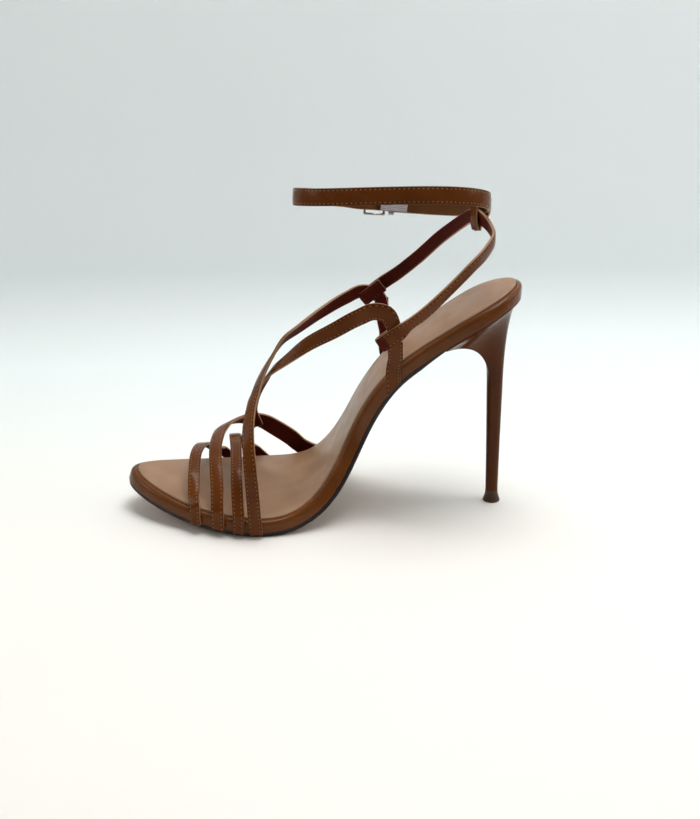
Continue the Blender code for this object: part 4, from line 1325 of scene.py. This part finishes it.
def ankle_stops():
    start = loop_spot(BUCKLE_HALF + ELASTIC_LENGTH, 0)[3] + 2 * math.pi
    stop = loop_spot(-BUCKLE_HALF - 9 * MM, 0)[3]
    stops = []
    for turn in np.linspace(start, stop, LOOP_STOPS):
        spot, normal, _ = loop_point(turn)
        stops.append([spot, normal, 1.0, 0.0])
    normal = buckle_axes()[2]
    for forward, out in (
        (BUCKLE_HALF + 2 * MM, BUCKLE_DIP),
        (BAR_MIDDLE, BUCKLE_DIP),
        (BAR_MIDDLE - 3 * MM, 0.3 * MM),
        (0, TAIL_OVER * 0.5),
        (-BAR_MIDDLE + 3 * MM, TAIL_OVER - 0.2 * MM),
        (-BAR_MIDDLE, TAIL_OVER),
    ):
        stops.append([at_buckle(forward, out), normal, 1.0, 0.0])
    for behind, extra in TAIL_STANDS_OFF:
        stops.append(loop_stop(BUCKLE_HALF + behind * MM, TAIL_BESIDE + extra * MM))
    stops.append(loop_stop(TAIL_LENGTH - 1 * MM, TAIL_BESIDE + 1.6 * MM, TAIL_SLANT))
    return stops


ankle_strip = Strip(ankle_stops(), ANKLE_WIDTH - 0.5 * MM)
lay_strip("ankle_strap_leather", ankle_strip, ["ankle_strap"], [patent_strap, ankle_lining, cut_edge])
sew("ankle_stitches", ankle_strip)

# %% [markdown]
# ## Buckle, loop and elastic
# The buckle is a cast rectangle with a bent prong. A box whose two faces are inset and bridged makes a
# frame with a window, and a bevel rounds every bar. The flat metal loop behind it is made the same way.

# %% A box with a window


def axes_at(spot, out, up):
    """Where a piece on the ankle strap stands: X along the strap, Y outward, Z up."""
    along = out.cross(up).normalized()
    return Matrix.Translation(spot) @ Matrix((along, out, up)).transposed().to_4x4()


def windowed(name, place, size, wall, axis, rounding, stands_for):
    """A box of that size, open along one axis with even walls, rounded, at its place."""
    bm = bmesh.new()
    bmesh.ops.create_cube(bm, size=1)
    bmesh.ops.scale(bm, vec=size, verts=bm.verts)
    bm.normal_update()
    ends = [f for f in bm.faces if abs(f.normal[axis]) > 0.9]
    bmesh.ops.inset_individual(bm, faces=ends, thickness=wall)
    rims = [list(f.edges) for f in ends]
    bmesh.ops.delete(bm, geom=ends, context="FACES_ONLY")
    bmesh.ops.bridge_loops(bm, edges=rims[0] + rims[1])
    bmesh.ops.recalc_face_normals(bm, faces=bm.faces)
    bmesh.ops.bevel(
        bm, geom=bm.edges[:], offset=rounding, segments=3, profile=0.5, affect="EDGES", material=-1,
        clamp_overlap=True,
    )
    bmesh.ops.transform(bm, matrix=place, verts=bm.verts)
    return to_piece(bm, name, [buckle_metal], stands_for, sharp=50)


spot, forward, out, up = buckle_axes()
tall = ANKLE_WIDTH + 2 * BUCKLE_SIDE_GAP + 2 * BUCKLE_BAR
place = axes_at(spot + out * FRAME_OUT, out, up)
size = (BUCKLE_LENGTH, BUCKLE_BAR, tall)
windowed("buckle_frame_cast", place, size, BUCKLE_BAR, 1, 0.45 * MM, ["buckle_frame"])

inside = FRAME_OUT * 0.65 - ELASTIC / 2 - 0.5 * MM
outside = TAIL_OVER + CAD_STRAP / 2 + 0.8 * MM
spot, normal, up, _ = loop_spot(BUCKLE_HALF + LOOP_BEHIND, 0)
tall = ANKLE_WIDTH + 0.8 * MM + 2 * LOOP_WIRE
place = axes_at(spot + normal * (inside + outside) / 2, normal, up)
deep = outside - inside + 2 * LOOP_WIRE
windowed("metal_strap_loop", place, (LOOP_BAND, deep, tall), LOOP_WIRE, 0, 0.35 * MM, ["strap_loop"])

# %% [markdown]
# ## The prong
# The prong is a bent wire that swings on the rear bar and rests on the front bar. A curve with a round
# bevel is the easiest wire, because each of its points has a radius of its own, so it can taper to the
# point. It is turned into a mesh, and its doubled points are merged, before it becomes a piece.

# %% The prong: a bent wire, thinner towards its point
rest = FRAME_OUT + BUCKLE_BAR / 2 + GAP + PRONG_R
crown_out = TAIL_OVER + CAD_STRAP / 2 + GAP + PRONG_R + 0.5 * MM
root = -BAR_MIDDLE + BUCKLE_BAR / 2 + GAP + PRONG_R
prong_points = (
    # forward, outward, thickness
    (root, FRAME_OUT - 0.5 * MM, 1.0),
    (root, TAIL_OVER - 0.3 * MM, 1.0),
    (root + 0.3 * MM, crown_out - 0.5 * MM, 1.05),
    (root + 1.6 * MM, crown_out, 1.1),
    (0, (crown_out + rest) / 2 + 0.5 * MM, 1.0),
    (BAR_MIDDLE - 2 * MM, rest + 0.2 * MM, 0.85),
    (BUCKLE_HALF - 0.2 * MM, rest, 0.6),
)
curve, read = run_along([at_buckle(a, b) for a, b, _ in prong_points], [p[2] for p in prong_points], 40)
line = bpy.data.curves.new("prong_line", "CURVE")
line.dimensions = "3D"
line.bevel_depth = PRONG_R
line.bevel_resolution = 4
line.use_fill_caps = True
wire = line.splines.new("POLY")
wire.points.add(len(curve) - 1)
for knot, point, share in zip(wire.points, curve, read[:, 0]):
    knot.co = (*point, 1)
    knot.radius = share
holder = in_scene("prong_wire", line)
bpy.context.view_layer.update()
bent = bpy.data.meshes.new_from_object(holder.evaluated_get(bpy.context.evaluated_depsgraph_get()))
bpy.data.objects.remove(holder)
prong = bmesh.new()
prong.from_mesh(bent)
bmesh.ops.remove_doubles(prong, verts=prong.verts, dist=0.005 * MM)
bmesh.ops.recalc_face_normals(prong, faces=prong.faces)
to_piece(prong, "prong_bent", [buckle_metal], ["buckle_prong"], sharp=50)

# %% [markdown]
# ## The elastic
# A short elastic joins the ankle strap to the buckle's rear bar, so that the strap gives a little. It runs
# inside the metal loop. It is laid like a strap, thinner, flatter and in the woven finish on all its sides.

# %% The elastic
ELASTIC_ROUTE = (
    # behind the buckle's rear bar, out from the loop, both in mm
    (-0.4, 0.0),
    (0.8, -1.1),
    (1.6, -1.75),
    (2.6, -1.85),
    (3.8, -1.75),
    (5.6, -1.1),
    (8.0, -0.3),
    (10.9, 0.0),
)
outward = buckle_axes()[2]
stops = [[at_buckle(-BAR_MIDDLE + 1.1 * MM, 0.10 * MM), outward, 1.0, 0.0]]
stops += [loop_stop(BUCKLE_HALF + behind * MM, out * MM) for behind, out in ELASTIC_ROUTE]
elastic_strip = Strip(stops, ANKLE_WIDTH - 0.8 * MM)
lay_strip(
    "elastic_band", elastic_strip, ["buckle_elastic"], [elastic_web] * 3,
    thick=ELASTIC, crown=0.05 * MM, edge=0.3 * MM,
)

# %% [markdown]
# ## Back keeper
# A narrow strip of the same leather is wrapped round the ankle strap and the sling where they meet, and its
# ends are pressed together below the sling. Its route is drawn in the plane across the straps.

# %% The keeper
KEEPER_ROUTE = (
    # out from the ankle strap's middle, up from it, both in mm: inner cut end first, outer cut end last
    (-3.9, -11.4),
    (-4.7, -9.4),
    (-5.1, -7.0),
    (-5.1, -3.0),
    (-4.8, 0.5),
    (-3.2, 3.4),
    (-1.4, 4.7),
    (0.2, 4.7),
    (1.4, 3.8),
    (1.6, 1.0),
    (1.6, -2.0),
    (1.1, -4.4),
    (-0.7, -6.6),
    (-1.9, -8.4),
    (-2.7, -10.2),
    (-2.8, -11.9),
)


def keeper_stops():
    spot, normal, up = loop_point(KEEPER_AT)
    stops = []
    for k, (out, above) in enumerate(KEEPER_ROUTE):
        before, after = KEEPER_ROUTE[max(k - 1, 0)], KEEPER_ROUTE[min(k + 1, len(KEEPER_ROUTE) - 1)]
        run_out, run_up = after[0] - before[0], after[1] - before[1]
        facing = (up * run_out - normal * run_up).normalized()
        stops.append([spot + (normal * out + up * above) * MM, facing, 1.0, 0.0])
    return stops


keeper_strip = Strip(keeper_stops(), KEEPER_WIDTH)
lay_strip(
    "keeper_leather", keeper_strip, ["back_keeper"], thick=KEEPER * 0.9, crown=0.08 * MM, edge=0.3 * MM
)

# %% [markdown]
# ## The floor
# The shoe stands on white paper that bends up to a wall behind it, so no horizon shows. The paper is a line
# that is drawn forwards as the floor and spun a quarter turn at its back, and then drawn up. Its colour
# carries painted light and shade: warm white in front, darker and cooler behind as painted shade where the
# light falls off, and paler again up the wall as painted light, with the faint fibres of real paper in its
# gloss.

# %% The floor
BEND_Y = 0.215
BEND_R = 0.055
paper, tree = new_finish("paper")
place = put(tree, "ShaderNodeTexCoord").outputs["Object"]
parts = put(tree, "ShaderNodeSeparateXYZ", {0: place})
fibres = noise(tree, place, 900.0, 3.0)
# Painted light and shade: the floor darkens and cools towards the back as the light falls off, and pales up
# the wall.
far = span(tree, parts.outputs["Y"], -0.05, 0.20)
risen = span(tree, parts.outputs["Z"], 0.0, 0.05)
floor_painted_falloff = blend(tree, far, tone("f8f4ed"), tone("e9f0ee"))
paper_painted_light_and_shade = blend(tree, risen, floor_painted_falloff, tone("f2f8f9"))
feed_shader(tree, paper_painted_light_and_shade, span(tree, fibres, 0.3, 0.7, 0.55, 0.7))

sweep = bmesh.new()
ends = [sweep.verts.new((x, BEND_Y, 0)) for x in (-3.0, 3.0)]
fold_line = sweep.edges.new(ends)
front = bmesh.ops.extrude_edge_only(sweep, edges=[fold_line])["geom"]
bmesh.ops.translate(sweep, vec=(0, -3.0, 0), verts=only(bmesh.types.BMVert, front))
bow = bmesh.ops.spin(
    sweep, geom=ends + [fold_line], cent=(0, BEND_Y, BEND_R), axis=(1, 0, 0), angle=math.radians(90), steps=20
)["geom_last"]
wall = bmesh.ops.extrude_edge_only(sweep, edges=only(bmesh.types.BMEdge, bow))["geom"]
bmesh.ops.translate(sweep, vec=(0, 0, 2.0), verts=only(bmesh.types.BMVert, wall))
sweep_mesh = as_mesh(sweep, "paper_sweep")
sweep_mesh.shade_smooth()
sweep_mesh.materials.append(paper)
paper_sweep = in_scene("paper_sweep", sweep_mesh)
print("the paper bends up", in_mm([BEND_Y])[0], "mm behind the origin")

# %% [markdown]
# ## Light
# A broad soft light hangs above and a little behind the shoe, so its near side is partly in its own shade
# and the lacquer mirrors the paper. Two weaker ones at the left and the right lift the straps' sides, as
# windows would, and the world adds a faint cool fill.

# %% The lights


def soft_light(name, spot, aim, size, power, colour=(1, 1, 1)):
    """A rectangle of light at a spot, turned to its aim; sizes in metres, power in watts."""
    lamp = bpy.data.lights.new(name, "AREA")
    lamp.shape = "RECTANGLE"
    lamp.size, lamp.size_y = size
    lamp.energy = power
    lamp.color = colour
    made = in_scene(name, lamp)
    made.location = spot
    made.rotation_euler = (Vector(aim) - Vector(spot)).to_track_quat("-Z", "Y").to_euler()


soft_light("overhead", (0.12, 0.10, 1.00), (0, 0.0, 0.0), (0.8, 0.5), 9.6)
soft_light("left_window", (-0.95, -0.10, 0.60), (0, 0, 0.06), (0.5, 0.5), 1.7, (1.0, 0.98, 0.95))
soft_light("right_window", (0.95, 0.00, 0.50), (0, 0, 0.06), (0.5, 0.5), 1.9, (1.0, 0.99, 0.97))
world = bpy.data.worlds.new("studio")
world.use_nodes = True
fill = world.node_tree.nodes["Background"].inputs
fill["Color"].default_value = (0.86, 0.90, 0.93, 1)
fill["Strength"].default_value = 0.20
bpy.context.scene.world = world
print("lights:", [light.name for light in bpy.data.lights])

# %% [markdown]
# ## Camera
# The camera stands a little above the shoe, on its inner side, about half a metre away. Its place, lens and
# small roll were found by fitting the outline of the sole to the view, so its axes are worked out from the
# three angles and not from a point that it looks at.

# %% The camera
azimuth, elevation, roll = math.radians(0.91), math.radians(20.89), math.radians(-1.04)
back = Vector((
    math.sin(azimuth) * math.cos(elevation), -math.cos(azimuth) * math.cos(elevation), math.sin(elevation)
))
right = (-back).cross(Vector((0, 0, 1))).normalized()
above = right.cross(-back)
turned_right = right * math.cos(roll) + above * math.sin(roll)
turned_above = above * math.cos(roll) - right * math.sin(roll)
lens = bpy.data.cameras.new("studio_camera")
lens.sensor_width = 36
lens.lens = 49.35
lens.clip_start = 0.01
camera = in_scene("studio_camera", lens)
eye = Vector((-74.133, -519.052, 248.208)) * MM + STAND
axes = Matrix((turned_right, turned_above, back)).transposed().to_4x4()
camera.matrix_world = Matrix.Translation(eye) @ axes
bpy.context.scene.camera = camera
bpy.context.scene.view_settings.view_transform = "Standard"
print("the camera stands at", in_mm(eye), "mm")
